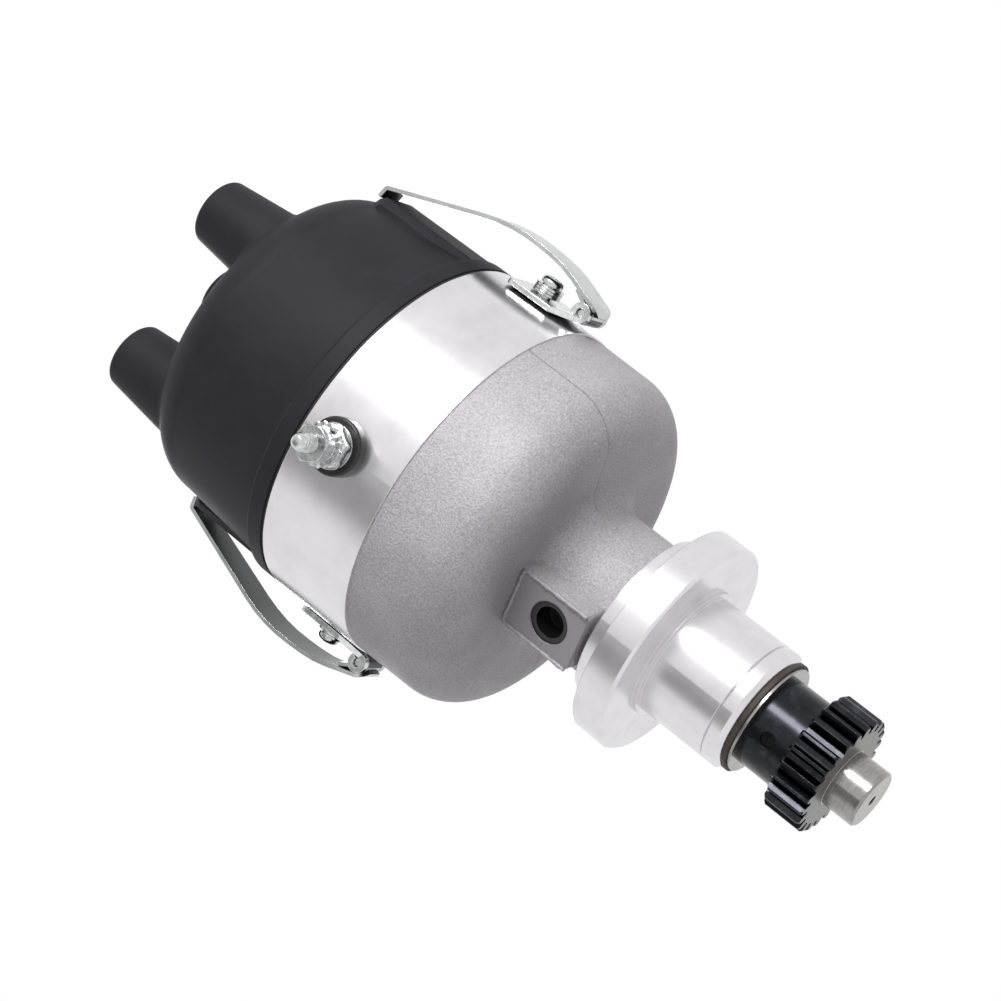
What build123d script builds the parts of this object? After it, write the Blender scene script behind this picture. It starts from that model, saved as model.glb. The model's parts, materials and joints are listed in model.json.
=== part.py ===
from build123d import *
import math
import os

# Ignition distributor with contact breaker, in millimetres.
# The shaft axis is Z, the origin is the centre of the pilot at the flange's seat face and the cap is at +Z.
# The low-tension terminal is on +X and the two cap clips are on +Y and -Y.

# Clearances
run_gap = 0.03          # radial, between a turning shaft or pin and its hole
free_gap = 0.3          # between pieces that move past each other
thrust_gap = 0.08       # end float of the shaft
seat_gap = 0.1          # radial, round a piece dropped into its seat

# Pilot, flange and neck of the housing
pilot_r = 13.8
pilot_length = 21.1
pilot_chamfer = 1.4
oil_line_up = 4.2       # above the pilot's end
oil_line_size = 0.45
register_step = 1.2
register_t = 1.1
flange_r = 24.45
flange_t = 7.2
flange_edge = 0.6
shoulder_r = 19.0
shoulder_t = 4.3
neck_r = 16.1
neck_fillet = 4.5

# Bowl of the housing
bowl_base_z = 30.0
bowl_height = 24.4      # up to the machined ring
bowl_r = 40.35
bowl_draft = 0.5
bowl_corner = 10.5
ring_proud = 0.35
ring_height = 24.0
ring_edge = 0.3
ring_wall = 4.2
ledge_width = 2.3       # seat of the breaker plate
ledge_depth = 20.4      # below the ring's top
floor_t = 5.0
floor_corner = 4.0

# Oiler boss on the neck
boss_angle = -22.0
boss_reach = 3.9        # beyond the neck
boss_width = 13.8
boss_gap = 1.1          # above the machined shoulder
boss_taper = 4.0
boss_edge = 1.2
oiler_up = 7.6          # above the boss's lower edge
oiler_r = 4.6
oiler_bore_r = 3.3
oiler_recess = 0.5
oiler_floor_t = 3.0

# Bushings and drive shaft
shaft_r = 6.6
journal_r = 6.35        # plain end beyond the gear
journal_length = 7.3
shaft_edge = 0.45
centre_r = 1.2
centre_depth = 3.0
bush_wall = 2.1
lower_bush_length = 19.5
lower_bush_inset = 0.3
upper_bush_length = 9.5
upper_bush_inset = 0.2
oil_space_depth = 0.9
spindle_r = 4.5
spindle_step_up = 1.2   # above the weights' base plate

# Drive gear and its pin
gear_tip_r = 13.45
gear_teeth = 24
gear_width = 8.9
gear_edge = 0.5
hub_r = 10.0
hub_length = 9.42
pressure_angle = 20.0
gear_pin_r = 1.6
gear_pin_up = 5.1       # above the gear's back face
gear_pin_inset = 0.4
gear_pin_angle = -5.0
fibre_washer_r = 12.9
fibre_washer_t = 1.0
steel_washer_r = 12.3
steel_washer_t = 0.7

# Centrifugal advance
thrust_washer_t = 1.0
base_plate_up = 5.0     # above the bowl's floor
base_plate_t = 2.0
base_plate_r = 15.0
base_lobe_r = 6.5
base_hub_r = 10.5
base_ear_width = 5.0
weight_pivot_r = 19.0
weight_pin_r = 2.0
weight_pin_up = 0.8
weight_t = 5.0
weight_inner_r = 11.0
weight_outer_r = 24.0
weight_sweep = 118.0
weight_corner = 2.0
toe_r = 1.4
toe_up = 1.8
toe_at = 16.5
toe_angle = -74.0
toe_travel = 3.8
cam_foot_t = 1.6
foot_r = 12.2
foot_arm_width = 9.0
foot_arm_end = 3.0
spring_post_r = 0.9
spring_post_up = 1.0
cam_post_at = 10.6
spring_length = 17.0
spring_wire = 0.7
spring_coil_r = 1.6
spring_coils = 8
spring_slack = 0.9
far_loop_length = 1.8

# Breaker cam
cam_up = 3.0            # above the breaker plate
cam_half = 8.9
cam_corner = 5.4
cam_height = 9.0
cam_sleeve_r = 7.6
cam_neck_length = 12.4
key_width = 3.0
key_depth = 1.6
key_length = 7.0
felt_depth = 5.0
felt_recess = 1.0

# Breaker plate and points
plate_t = 1.6
plate_hole_gap = 0.85   # between the cam's lobes and the plate
plate_screw_r = 1.5
plate_screw_length = 5.6
plate_screw_head_r = 2.8
small_head_t = 1.7
small_slot_width = 0.7
plate_screw_inset = 4.1 # from the wall to the screws
plate_screw_angles = (58.0, 152.0, 278.0)
plate_boss_r = 3.6
plate_boss_length = 9.5
block_gap = 0.15        # between the cam's lobes and the rubbing block
block_length = 3.2
block_width = 4.4
arm_pivot_y = -20.0
arm_pivot_out = 1.3     # from the arm to its pivot
arm_pivot_r = 1.6
arm_sleeve_r = 3.0
arm_up = 4.6            # above the breaker plate
arm_t = 1.0
arm_height = 6.0
arm_flange_width = 2.8
arm_tip_y = 15.5
contact_r = 2.4
contact_t = 1.2
contact_gap = 0.4
contact_inset = 1.0     # from the arm's tip
contact_plate_t = 1.2
contact_plate_width = 17.0
contact_plate_end = 4.5
contact_post_width = 6.0
lock_screw_out = 9.8    # from the arm
lock_screw_head_r = 2.6
leaf_t = 0.5
leaf_width = 3.6
leaf_start_y = 2.0
leaf_bend = 3.0
leaf_end_gap = 2.2      # left before the terminal's strip when the arm is at rest

# Condenser
condenser_r = 6.0
condenser_length = 18.0
condenser_gap = 2.0     # from the wall
clamp_t = 0.8
clamp_width = 6.0
clamp_foot = 3.6        # from the can to the clamp's screw
clamp_foot_end = 2.6
clamp_head_r = 2.2
clamp_head_t = 1.2

# Low-tension terminal
terminal_up = 14.1      # above the ring's lower edge
terminal_reach = 17.0   # beyond the ring
stud_r = 2.2
stud_end_r = 2.0
stud_chamfer = 0.8
stud_head_flats = 7.0
stud_head_t = 2.4
insulator_r = 6.0
insulator_t = 2.6
insulator_sink = 0.8
insulator_neck_r = 3.6
inner_insulator_r = 5.5
inner_insulator_t = 4.1
insulator_joint = 1.6   # outward from the cavity's wall
terminal_nut_flats = 8.6
terminal_nut_t = 3.2
terminal_nut_edge = 0.45
terminal_washer_r = 4.7
terminal_washer_t = 0.9
strip_t = 0.6
strip_length = 12.4
strip_width = 6.6

# Cap
gasket_t = 0.5
cap_rim_height = 4.6
cap_rim_edge = 0.4
cap_body_step = 1.3
cap_shoulder_step = 3.1
cap_height = 39.5
cap_corner = 9.5
cap_inner_corner = 7.5
cap_wall = 3.8
cap_spigot_t = 1.0
cap_spigot_depth = 2.4
tower_at = 25.8
tower_height = 15.5     # above the cap's top
tower_tip_r = 7.45
tower_draft = 5.6
tower_edge = 1.2
tower_foot = 2.0        # fillet where a tower leaves the cap
centre_tower_height = 15.4
centre_tower_tip_r = 6.9
socket_r = 4.3
socket_depth = 12.9
electrode_r = 3.0
electrode_overlap = 0.4 # below the rotor's blade
electrode_boss_r = 5.2
electrode_boss_length = 9.1
centre_boss_length = 5.6
button_r = 2.2
button_head_t = 1.5
button_length = 4.4
landing_width = 14.0
landing_sink = 0.8      # inward from the ring's face
landing_edge = 1.6
landing_depth = 8.0     # inward from the cap's shoulder

# Clips, their brackets and screws
clip_width = 9.0
clip_t = 0.9
clip_tip_width = 7.6
eye_out = 3.3           # from the ring's face
eye_up = 2.1            # above the ring's lower edge
eye_r = 2.2
eye_slot_gap = 0.5
hinge_pin_r = 1.0
hinge_head_t = 0.6
bow_low = (9.2, 11.1)   # out from the ring's face, up from its lower edge
bow_high = (10.2, 25.6)
bow_low_bend = 26.0
bow_high_bend = 38.0
hook_bend_at = (3.7, 1.2)   # out and up from the cap's shoulder
hook_end_at = (1.3, 1.7)
bracket_width = 12.4
bracket_t = 1.2
bracket_bend = 1.4
bracket_top_up = 18.9
bracket_bend_up = 8.0
tongue_width = 5.8
clip_screw_up = 12.9
clip_screw_r = 2.0
clip_screw_head_r = 3.1
clip_screw_head_t = 2.2
lock_washer_t = 0.9

# Rotor
rotor_up = 2.9          # above the cam's lobes
rotor_skirt_r = 13.0
rotor_skirt_t = 7.0
rotor_stem_r = 10.4
rotor_head_height = 10.0    # above the cam's neck
rotor_arm_t = 4.0
rotor_arm_width = 11.0
rotor_arm_reach = 20.6
blade_t = 1.2
blade_width = 7.0
blade_gap = 0.8
rotor_angle = 20.0
rotor_leaf_width = 4.0
rotor_leaf_start = 13.0
rotor_leaf_end = -3.0

# Radii and heights that follow from the sizes above
register_r = pilot_r + register_step
bush_r = shaft_r + bush_wall
oil_space_r = bush_r + oil_space_depth
boss_face = neck_r + boss_reach
ring_r = bowl_r + ring_proud
cavity_r = ring_r - ring_wall
ledge_r = cavity_r - ledge_width
shoulder_top_z = flange_t + shoulder_t
boss_base_z = shoulder_top_z + boss_gap
oiler_z = boss_base_z + oiler_up
floor_z = bowl_base_z + floor_t
ring_base_z = bowl_base_z + bowl_height
ring_top_z = ring_base_z + ring_height
ledge_z = ring_top_z - ledge_depth
plate_top_z = ledge_z + plate_t

fibre_top_z = -pilot_length - thrust_gap
hub_top_z = fibre_top_z - fibre_washer_t - steel_washer_t
gear_back_z = hub_top_z - hub_length
gear_front_z = gear_back_z - gear_width
gear_pin_z = gear_back_z + gear_pin_up
shaft_end_z = gear_front_z - journal_length

weight_base_z = floor_z + base_plate_up
base_plate_top_z = weight_base_z + base_plate_t
weight_z = base_plate_top_z + free_gap
weight_top_z = weight_z + weight_t
cam_foot_z = weight_top_z + free_gap
cam_foot_top_z = cam_foot_z + cam_foot_t
spring_z = cam_foot_top_z + spring_coil_r + free_gap
cam_base_z = plate_top_z + cam_up
cam_top_z = cam_base_z + cam_height + cam_neck_length
spindle_base_z = base_plate_top_z + spindle_step_up
spindle_top_z = cam_top_z - felt_depth
spindle_hole_r = spindle_r + run_gap

cam_lobe_r = math.sqrt(2) * cam_half - cam_corner * (math.sqrt(2) - 1)
plate_hole_r = cam_lobe_r + plate_hole_gap
plate_screw_at = cavity_r - plate_screw_inset
block_near_x = cam_lobe_r + block_gap
block_far_x = block_near_x + block_length
arm_x = block_far_x + arm_t / 2
arm_base_z = plate_top_z + arm_up
arm_top_z = arm_base_z + arm_height
arm_pivot = (arm_x + arm_pivot_out, arm_pivot_y)
contact_y = arm_tip_y - contact_inset
contact_z = arm_base_z + arm_height / 2
lock_screw_at = (arm_x + lock_screw_out, arm_tip_y - contact_r - contact_gap)
fixed_contact_x = block_far_x - 2 * contact_t
contact_plate_top_z = plate_top_z + contact_plate_t
condenser_x = condenser_r - math.sqrt((cavity_r - condenser_gap) ** 2 - (condenser_length / 2) ** 2)
condenser_z = plate_top_z + condenser_r + seat_gap
clamp_screw_x = condenser_x + condenser_r + clamp_foot

terminal_z = ring_base_z + terminal_up
terminal_tip = ring_r + terminal_reach
inner_insulator_x = cavity_r - inner_insulator_t
stud_head_x = inner_insulator_x - stud_head_t
insulator_joint_x = cavity_r + insulator_joint
strip_face_x = stud_head_x - strip_t

cap_base_z = ring_top_z + gasket_t
cap_rim_top_z = cap_base_z + cap_rim_height
cap_top_z = cap_base_z + cap_height
cap_body_r = ring_r - cap_body_step
cap_shoulder_r = ring_r - cap_shoulder_step
cap_shoulder_z = cap_top_z - cap_corner - 0.5
cap_inner_r = cap_shoulder_r - cap_wall
cap_ceiling_z = cap_top_z - cap_wall
cap_spigot_r = cavity_r - free_gap
cap_mouth_r = cap_spigot_r - cap_spigot_t
tower_tip_z = cap_top_z + tower_height
socket_floor_z = tower_tip_z - socket_depth
electrode_boss_z = cap_ceiling_z - electrode_boss_length
centre_boss_z = cap_ceiling_z - centre_boss_length
button_end_z = centre_boss_z - button_length
landing_face = ring_r - landing_sink

eye_y = ring_r + eye_out
eye_z = ring_base_z + eye_up
hook_y = cap_shoulder_r + hook_end_at[0]
hook_z = cap_shoulder_z + hook_end_at[1]
bracket_top_z = ring_base_z + bracket_top_up
bracket_bend_z = ring_base_z + bracket_bend_up
clip_screw_z = ring_base_z + clip_screw_up
lock_washer_y = ring_r + bracket_t
clip_head_y = lock_washer_y + lock_washer_t

rotor_base_z = cam_base_z + cam_height + rotor_up
rotor_arm_z = cam_top_z + rotor_head_height
blade_z = rotor_arm_z + rotor_arm_t
blade_top_z = blade_z + blade_t
blade_reach = tower_at - electrode_r - blade_gap
electrode_end_z = blade_z - electrode_overlap

tower_angles = (45, 135, 225, 315)
clip_sides = {"left": 1, "right": -1}


def rod(radius, low, high, x=0, y=0):
    # A round bar along Z.
    return Pos(x, y, (low + high) / 2) * Cylinder(radius, high - low)


def tube(radius, hole, low, high, x=0, y=0):
    return rod(radius, low, high, x, y) - rod(hole, low - 1, high + 1, x, y)


def turned(*corners):
    # A solid of revolution about Z. Each corner is (radius, height) or (radius, height, fillet).
    points = [corner[:2] for corner in corners]
    fillets = [corner[2] if len(corner) > 2 else 0 for corner in corners]
    outline = make_face(FilletPolyline(*points, radius=fillets, close=True))
    return revolve(Plane.XZ * outline, Axis.Z)


def radial_bar(radius, near, far, angle, z):
    # A round bar that points away from the axis.
    bar = Pos((near + far) / 2, 0, z) * Rot(0, 90, 0) * Cylinder(radius, far - near)
    return Rot(0, 0, angle) * bar


def radial_prism(outline, near, far, angle, z):
    # An outline drawn across a radius, extruded away from the axis.
    section = Plane(origin=(near, 0, z), x_dir=(0, 1, 0), z_dir=(1, 0, 0)) * outline
    return Rot(0, 0, angle) * extrude(section, far - near)


def hexagon(flats):
    return RegularPolygon(flats / 2, 6, major_radius=False)


def side_plate(outline, width):
    # An outline drawn in the plane of Y and Z, with its thickness shared along X.
    return extrude(Plane.YZ * outline, width / 2, both=True)


def opposite(shape, side):
    # The +Y piece for side 1, or the same piece turned half a turn for side -1.
    return shape if side == 1 else Rot(0, 0, 180) * shape


def housing():
    oil_low = -pilot_length + lower_bush_length
    oil_high = floor_z - upper_bush_length
    line_z = -pilot_length + oil_line_up
    body = turned(
        (bush_r, -pilot_length),
        (pilot_r - pilot_chamfer, -pilot_length),
        (pilot_r, -pilot_length + pilot_chamfer),
        (pilot_r, line_z - oil_line_size / 2),
        (pilot_r - oil_line_size, line_z),
        (pilot_r, line_z + oil_line_size / 2),
        (pilot_r, -register_t),
        (register_r, -register_t),
        (register_r, 0),
        (flange_r - flange_edge, 0),
        (flange_r, flange_edge),
        (flange_r, flange_t),
        (shoulder_r, flange_t),
        (shoulder_r, shoulder_top_z),
        (neck_r, shoulder_top_z),
        (neck_r, bowl_base_z, neck_fillet),
        (bowl_r - bowl_draft, bowl_base_z, bowl_corner),
        (bowl_r, ring_base_z),
        (ring_r, ring_base_z),
        (ring_r, ring_top_z - ring_edge),
        (ring_r - ring_edge, ring_top_z),
        (cavity_r, ring_top_z),
        (cavity_r, ledge_z),
        (ledge_r, ledge_z),
        (ledge_r, floor_z, floor_corner),
        (bush_r, floor_z),
        (bush_r, oil_high),
        (oil_space_r, oil_high),
        (oil_space_r, oil_low),
        (bush_r, oil_low),
    )
    body += oiler_boss()
    hole_base_z = plate_top_z - plate_screw_length
    for angle in plate_screw_angles:
        body += Rot(0, 0, angle) * screw_lug()
        body -= Rot(0, 0, angle) * rod(plate_screw_r, hole_base_z, ledge_z + 1, plate_screw_at, 0)
    body -= radial_bar(oiler_r, oil_space_r - 1, boss_face + 1, boss_angle, oiler_z)
    body -= radial_bar(insulator_neck_r, cavity_r - 2, ring_r + 1, 0, terminal_z)
    for side in clip_sides.values():
        body -= radial_bar(clip_screw_r, cavity_r - 2, ring_r + 1, 90 * side, clip_screw_z)
    return body


def screw_lug():
    # A half-round lug in the wall that takes one screw of the breaker plate.
    base_z = ledge_z - plate_boss_length
    wall = Box(plate_boss_r, 2 * plate_boss_r, plate_boss_length)
    lug = rod(plate_boss_r, base_z, ledge_z, plate_screw_at, 0)
    return lug + Pos(plate_screw_at + plate_boss_r / 2, 0, (base_z + ledge_z) / 2) * wall


def oiler_boss():
    # A drafted block cast on the neck, under the bowl, with a machined face.
    height = bowl_base_z + bowl_corner / 4 - boss_base_z
    root = neck_r / 2
    outline = Rectangle(boss_width, height)
    face = Plane(origin=(boss_face, 0, boss_base_z + height / 2), x_dir=(0, 1, 0), z_dir=(-1, 0, 0))
    block = extrude(face * outline, boss_face - root, taper=-boss_taper)
    edges = block.edges().filter_by(lambda edge: root + 1 < edge.center().X < boss_face - 1)
    block = fillet(edges, boss_edge)
    keep = rod(bowl_r - bowl_draft - bowl_corner, boss_base_z - 2, bowl_base_z + floor_t / 2)
    return Rot(0, 0, boss_angle) * (block & keep) - rod(oil_space_r, boss_base_z - 3, bowl_base_z + floor_t)


def oiler_plug():
    near = oil_space_r + oiler_floor_t - 1
    plug = radial_bar(oiler_r, near, boss_face - oiler_recess, boss_angle, oiler_z)
    hollow = radial_bar(oiler_bore_r, near + oiler_floor_t, boss_face, boss_angle, oiler_z)
    return plug - hollow


def bushing(low, high):
    return tube(bush_r, shaft_r + run_gap, low, high)


def drive_shaft():
    bar = turned(
        (0, shaft_end_z),
        (journal_r - shaft_edge, shaft_end_z),
        (journal_r, shaft_end_z + shaft_edge),
        (journal_r, gear_front_z),
        (shaft_r, gear_front_z),
        (shaft_r, spindle_base_z),
        (spindle_r, spindle_base_z),
        (spindle_r, spindle_top_z),
        (0, spindle_top_z),
    )
    centre = Cone(centre_r, 0.1, centre_depth, align=(Align.CENTER, Align.CENTER, Align.MIN))
    bar -= Pos(0, 0, shaft_end_z) * centre
    return bar - radial_bar(gear_pin_r, -hub_r - 1, hub_r + 1, gear_pin_angle, gear_pin_z)


def tooth_space():
    # One gap between teeth, with involute flanks and a rounded root, drawn on +X.
    module = 2 * gear_tip_r / (gear_teeth + 2)
    pitch_r = module * gear_teeth / 2
    base_r = pitch_r * math.cos(math.radians(pressure_angle))
    root_r = pitch_r - 1.25 * module

    def involute(radius):
        ratio = math.acos(min(1.0, base_r / radius))
        return math.tan(ratio) - ratio

    half_at_pitch = math.pi / (2 * gear_teeth)
    outer_r = gear_tip_r + module / 2
    radii = [max(base_r, root_r), pitch_r, outer_r]
    flank = []
    for radius in radii:
        turn = half_at_pitch + involute(radius) - involute(pitch_r)
        flank.append((radius * math.cos(turn), radius * math.sin(turn)))
    start_turn = half_at_pitch - involute(pitch_r)
    root_corner = (root_r * math.cos(start_turn), root_r * math.sin(start_turn))
    upper = [root_corner] + flank if root_r < base_r - 0.01 else flank
    lower = [(x, -y) for x, y in reversed(upper)]
    return make_face(Polyline(*upper, *lower, close=True))


def drive_gear():
    blank = turned(
        (shaft_r, gear_front_z),
        (gear_tip_r - gear_edge, gear_front_z),
        (gear_tip_r, gear_front_z + gear_edge),
        (gear_tip_r, gear_back_z - gear_edge),
        (gear_tip_r - gear_edge, gear_back_z),
        (hub_r, gear_back_z),
        (hub_r, hub_top_z),
        (shaft_r, hub_top_z),
    )
    gap = extrude(Plane.XY.offset(gear_front_z - 1) * tooth_space(), gear_width + 1.2)
    gaps = [Rot(0, 0, 360 * number / gear_teeth) * gap for number in range(gear_teeth)]
    blank -= gaps
    return blank - radial_bar(gear_pin_r, -hub_r - 1, hub_r + 1, gear_pin_angle, gear_pin_z)


def gear_pin():
    reach = hub_r - gear_pin_inset
    return radial_bar(gear_pin_r, -reach, reach, gear_pin_angle, gear_pin_z)


def fibre_washer():
    return tube(fibre_washer_r, shaft_r, fibre_top_z - fibre_washer_t, fibre_top_z)


def steel_washer():
    return tube(steel_washer_r, shaft_r, hub_top_z, hub_top_z + steel_washer_t)


def upper_thrust_washer():
    return tube(base_hub_r, shaft_r, floor_z + thrust_gap, floor_z + thrust_gap + thrust_washer_t)


def weight_base_plate():
    # A plate pressed on the shaft, with two pivot pins for the weights and two posts for the springs.
    middle_z = weight_base_z + base_plate_t / 2
    plate = rod(base_plate_r, weight_base_z, base_plate_top_z)
    plate += rod(base_hub_r, floor_z + thrust_gap + thrust_washer_t, weight_base_z)
    x, y = base_post_at()
    reach = math.hypot(x, y) + base_ear_width / 2 + spring_post_r
    for turn in (0, 180):
        lobe = rod(base_lobe_r, weight_base_z, base_plate_top_z, weight_pivot_r, 0)
        lobe += Pos(weight_pivot_r / 2, 0, middle_z) * Box(weight_pivot_r, 2 * base_lobe_r, base_plate_t)
        lobe += rod(weight_pin_r, base_plate_top_z, weight_top_z + weight_pin_up, weight_pivot_r, 0)
        plate += Rot(0, 0, turn) * lobe
        ear = Pos(reach / 2, 0, middle_z) * Box(reach, base_ear_width, base_plate_t)
        plate += Rot(0, 0, turn + math.degrees(math.atan2(y, x))) * ear
        plate += Rot(0, 0, turn) * rod(spring_post_r, base_plate_top_z, spring_z + spring_post_up, x, y)
    return plate - rod(shaft_r, floor_z - 1, base_plate_top_z + 1)


def spring_angle():
    # The direction in which the cam's post moves away from the base plate's post.
    return toe_angle + 180 + 95


def cam_post():
    turn = math.radians(toe_angle + 180)
    return (cam_post_at * math.cos(turn), cam_post_at * math.sin(turn))


def base_post_at():
    x, y = cam_post()
    turn = math.radians(spring_angle())
    return (x - spring_length * math.cos(turn), y - spring_length * math.sin(turn))


def weight_outline():
    # A sickle that lies beside the shaft, pivoted at one end.
    inner = CenterArc((0, 0), weight_inner_r, -10, weight_sweep)
    outer = CenterArc((0, 0), weight_outer_r, -14, weight_sweep + 4)
    ends = [Line(inner @ 1, outer @ 1), Line(outer @ 0, inner @ 0)]
    face = make_face([inner, outer] + ends)
    return mirror(fillet(face.vertices(), weight_corner), Plane.XZ)


def advance_weight(turn):
    body = extrude(Plane.XY.offset(weight_z) * weight_outline(), weight_t)
    body -= rod(weight_pin_r + run_gap, weight_z - 1, weight_top_z + 1, weight_pivot_r, 0)
    body += Rot(0, 0, toe_angle) * rod(toe_r, weight_top_z, weight_top_z + toe_up, toe_at, 0)
    return Rot(0, 0, turn) * body


def wire_loop(inner_r, length):
    # A closed loop of spring wire round a post, long enough for the post to move along +X.
    outer = SlotOverall(length + 2 * (inner_r + spring_wire), 2 * (inner_r + spring_wire))
    inner = SlotOverall(length + 2 * inner_r + 0.001, 2 * inner_r)
    return Pos(length / 2, 0, -spring_wire / 2) * extrude(outer - inner, spring_wire)


def advance_spring(turn):
    # A close-wound tension spring. The loop on the cam's post is long, so the post can slide in it.
    fit_r = spring_post_r + seat_gap
    first = fit_r + spring_wire
    last = spring_length - spring_slack - first + free_gap * 2
    pitch = (last - first) / spring_coils
    points = [(first, 0)]
    for number in range(spring_coils):
        points.append((first + number * pitch, spring_coil_r))
        points.append((first + (number + 0.5) * pitch, spring_coil_r - spring_wire / 3))
    points.append((last, spring_coil_r))
    points.append((last, 0))
    coil = revolve(make_face(Polyline(*points, close=True)), Axis.X)
    hollow = Cylinder(spring_coil_r - spring_wire, last - first - spring_wire * 2)
    coil -= Pos((first + last) / 2, 0, 0) * Rot(0, 90, 0) * hollow
    near_loop = tube(fit_r + spring_wire + 0.2, fit_r, -spring_wire / 2, spring_wire / 2)
    far_loop = wire_loop(spring_post_r + 4 * seat_gap, far_loop_length)
    spring = coil + near_loop + Pos(spring_length - spring_slack + free_gap, 0, 0) * far_loop
    x, y = base_post_at()
    return Rot(0, 0, turn) * Pos(x, y, spring_z) * Rot(0, 0, spring_angle()) * spring


def breaker_cam():
    square = Rot(0, 0, 45) * RectangleRounded(2 * cam_half, 2 * cam_half, cam_corner)
    cam = extrude(Plane.XY.offset(cam_base_z) * square, cam_height)
    cam += rod(cam_sleeve_r, cam_foot_z, cam_top_z)
    cam += rod(foot_r, cam_foot_z, cam_foot_top_z)
    slot_near = toe_at - toe_r - free_gap
    slot_far = toe_at + toe_travel + toe_r + free_gap
    arm_end = slot_far + foot_arm_end
    middle_z = cam_foot_z + cam_foot_t / 2
    slot_box = Box(slot_far - slot_near, 2 * (toe_r + 2 * free_gap), 2 * cam_foot_t)
    for turn in (0, 180):
        arm = Pos(arm_end / 2, 0, middle_z) * Box(arm_end, foot_arm_width, cam_foot_t)
        arm -= Pos((slot_near + slot_far) / 2, 0, middle_z) * slot_box
        arm += rod(spring_post_r, cam_foot_z, spring_z + spring_post_up, cam_post_at, 0)
        cam += Rot(0, 0, turn + toe_angle) * arm
    cam -= key_bar()
    return cam - rod(spindle_hole_r, cam_foot_z - 1, cam_top_z + 1)


def key_bar():
    # The key way in the cam's neck that sets the rotor's position.
    bar = Box(key_depth, key_width, key_length)
    return Pos(cam_sleeve_r - key_depth / 2, 0, cam_top_z - key_length / 2) * bar


def felt_wick():
    return rod(spindle_r - seat_gap, spindle_top_z, cam_top_z - felt_recess)


def breaker_plate():
    plate = rod(cavity_r - seat_gap, ledge_z, plate_top_z) - rod(plate_hole_r, ledge_z - 1, plate_top_z + 1)
    for angle in plate_screw_angles:
        plate -= Rot(0, 0, angle) * rod(plate_screw_r, ledge_z - 1, plate_top_z + 1, plate_screw_at, 0)
    plate -= rod(arm_pivot_r, ledge_z - 1, plate_top_z + 1, *arm_pivot)
    plate -= rod(plate_screw_r, ledge_z - 1, plate_top_z + 1, *lock_screw_at)
    return plate - rod(plate_screw_r, ledge_z - 1, plate_top_z + 1, clamp_screw_x, 0)


def slotted_screw(length, head_r, head_t, seat_z, x, y):
    # A small cheese-head screw that points down, with its head seated at seat_z.
    screw = rod(plate_screw_r, seat_z - length, seat_z, x, y)
    screw += rod(head_r, seat_z, seat_z + head_t, x, y)
    return screw - Pos(x, y, seat_z + head_t) * Box(2 * head_r + 1, small_slot_width, head_t)


def plate_screws():
    length, head_r = plate_screw_length, plate_screw_head_r
    screw = slotted_screw(length, head_r, small_head_t, plate_top_z, plate_screw_at, 0)
    return Compound([Rot(0, 0, angle) * screw for angle in plate_screw_angles])


def fixed_contact_bracket():
    # A stamped plate on the breaker plate, with a post that carries the still contact.
    x, y = arm_pivot
    low_y = y - contact_plate_end / 3
    high_y = contact_y + contact_plate_end + contact_inset
    middle_z = (plate_top_z + contact_plate_top_z) / 2
    sheet = Box(contact_plate_width, high_y - low_y, contact_plate_t)
    plate = Pos(arm_x - block_length / 2 + contact_plate_width / 2, (low_y + high_y) / 2, middle_z) * sheet
    plate &= rod(cavity_r - plate_screw_r, plate_top_z, contact_plate_top_z)
    plate -= rod(cam_half + cam_corner, plate_top_z - 1, contact_plate_top_z + 1)
    post_x = fixed_contact_x - contact_plate_t
    post = Box(contact_plate_t, contact_post_width, arm_top_z - plate_top_z)
    foot = Box(contact_post_width, contact_post_width, contact_plate_t)
    bracket = plate + Pos(post_x + contact_plate_t / 2, contact_y, (plate_top_z + arm_top_z) / 2) * post
    bracket += Pos(post_x + contact_post_width / 2, contact_y, middle_z) * foot
    bracket -= rod(plate_screw_r, plate_top_z - 1, contact_plate_top_z + 1, *lock_screw_at)
    return bracket - rod(arm_pivot_r, plate_top_z - 1, contact_plate_top_z + 1, x, y)


def fixed_contact():
    return contact_button(fixed_contact_x, block_far_x - contact_t - contact_gap)


def contact_button(near, far):
    return Pos((near + far) / 2, contact_y, contact_z) * Rot(0, 90, 0) * Cylinder(contact_r, far - near)


def arm_contact():
    return contact_button(block_far_x - contact_t, block_far_x)


def pivot_post():
    post = rod(arm_pivot_r, ledge_z, arm_top_z + arm_pivot_r, *arm_pivot)
    return post + tube(arm_sleeve_r, arm_pivot_r, contact_plate_top_z, arm_base_z - arm_t, *arm_pivot)


def breaker_arm():
    # A pressed steel arm with a sleeve on the pivot post and a stiffening flange along its top.
    x, y = arm_pivot
    sleeve = rod(arm_sleeve_r, arm_base_z - arm_t + free_gap, arm_top_z + free_gap, x, y)
    length = arm_tip_y + contact_r - contact_inset - y
    web = Pos(arm_x, y + length / 2, contact_z) * Box(arm_t, length, arm_height)
    flange_length = length - 2 * arm_sleeve_r
    flange = Pos(arm_x + arm_flange_width / 2, y + flange_length / 2, arm_top_z - arm_t / 2) * Box(
        arm_flange_width, flange_length, arm_t
    )
    arm = sleeve + web + flange
    return arm - rod(arm_pivot_r + run_gap, arm_base_z - 3, arm_top_z + 3, x, y)


def rubbing_block():
    height = arm_height - arm_t
    block = Box(block_length, block_width, height)
    return Pos((block_near_x + block_far_x) / 2, 0, arm_base_z + height / 2) * block


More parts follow.
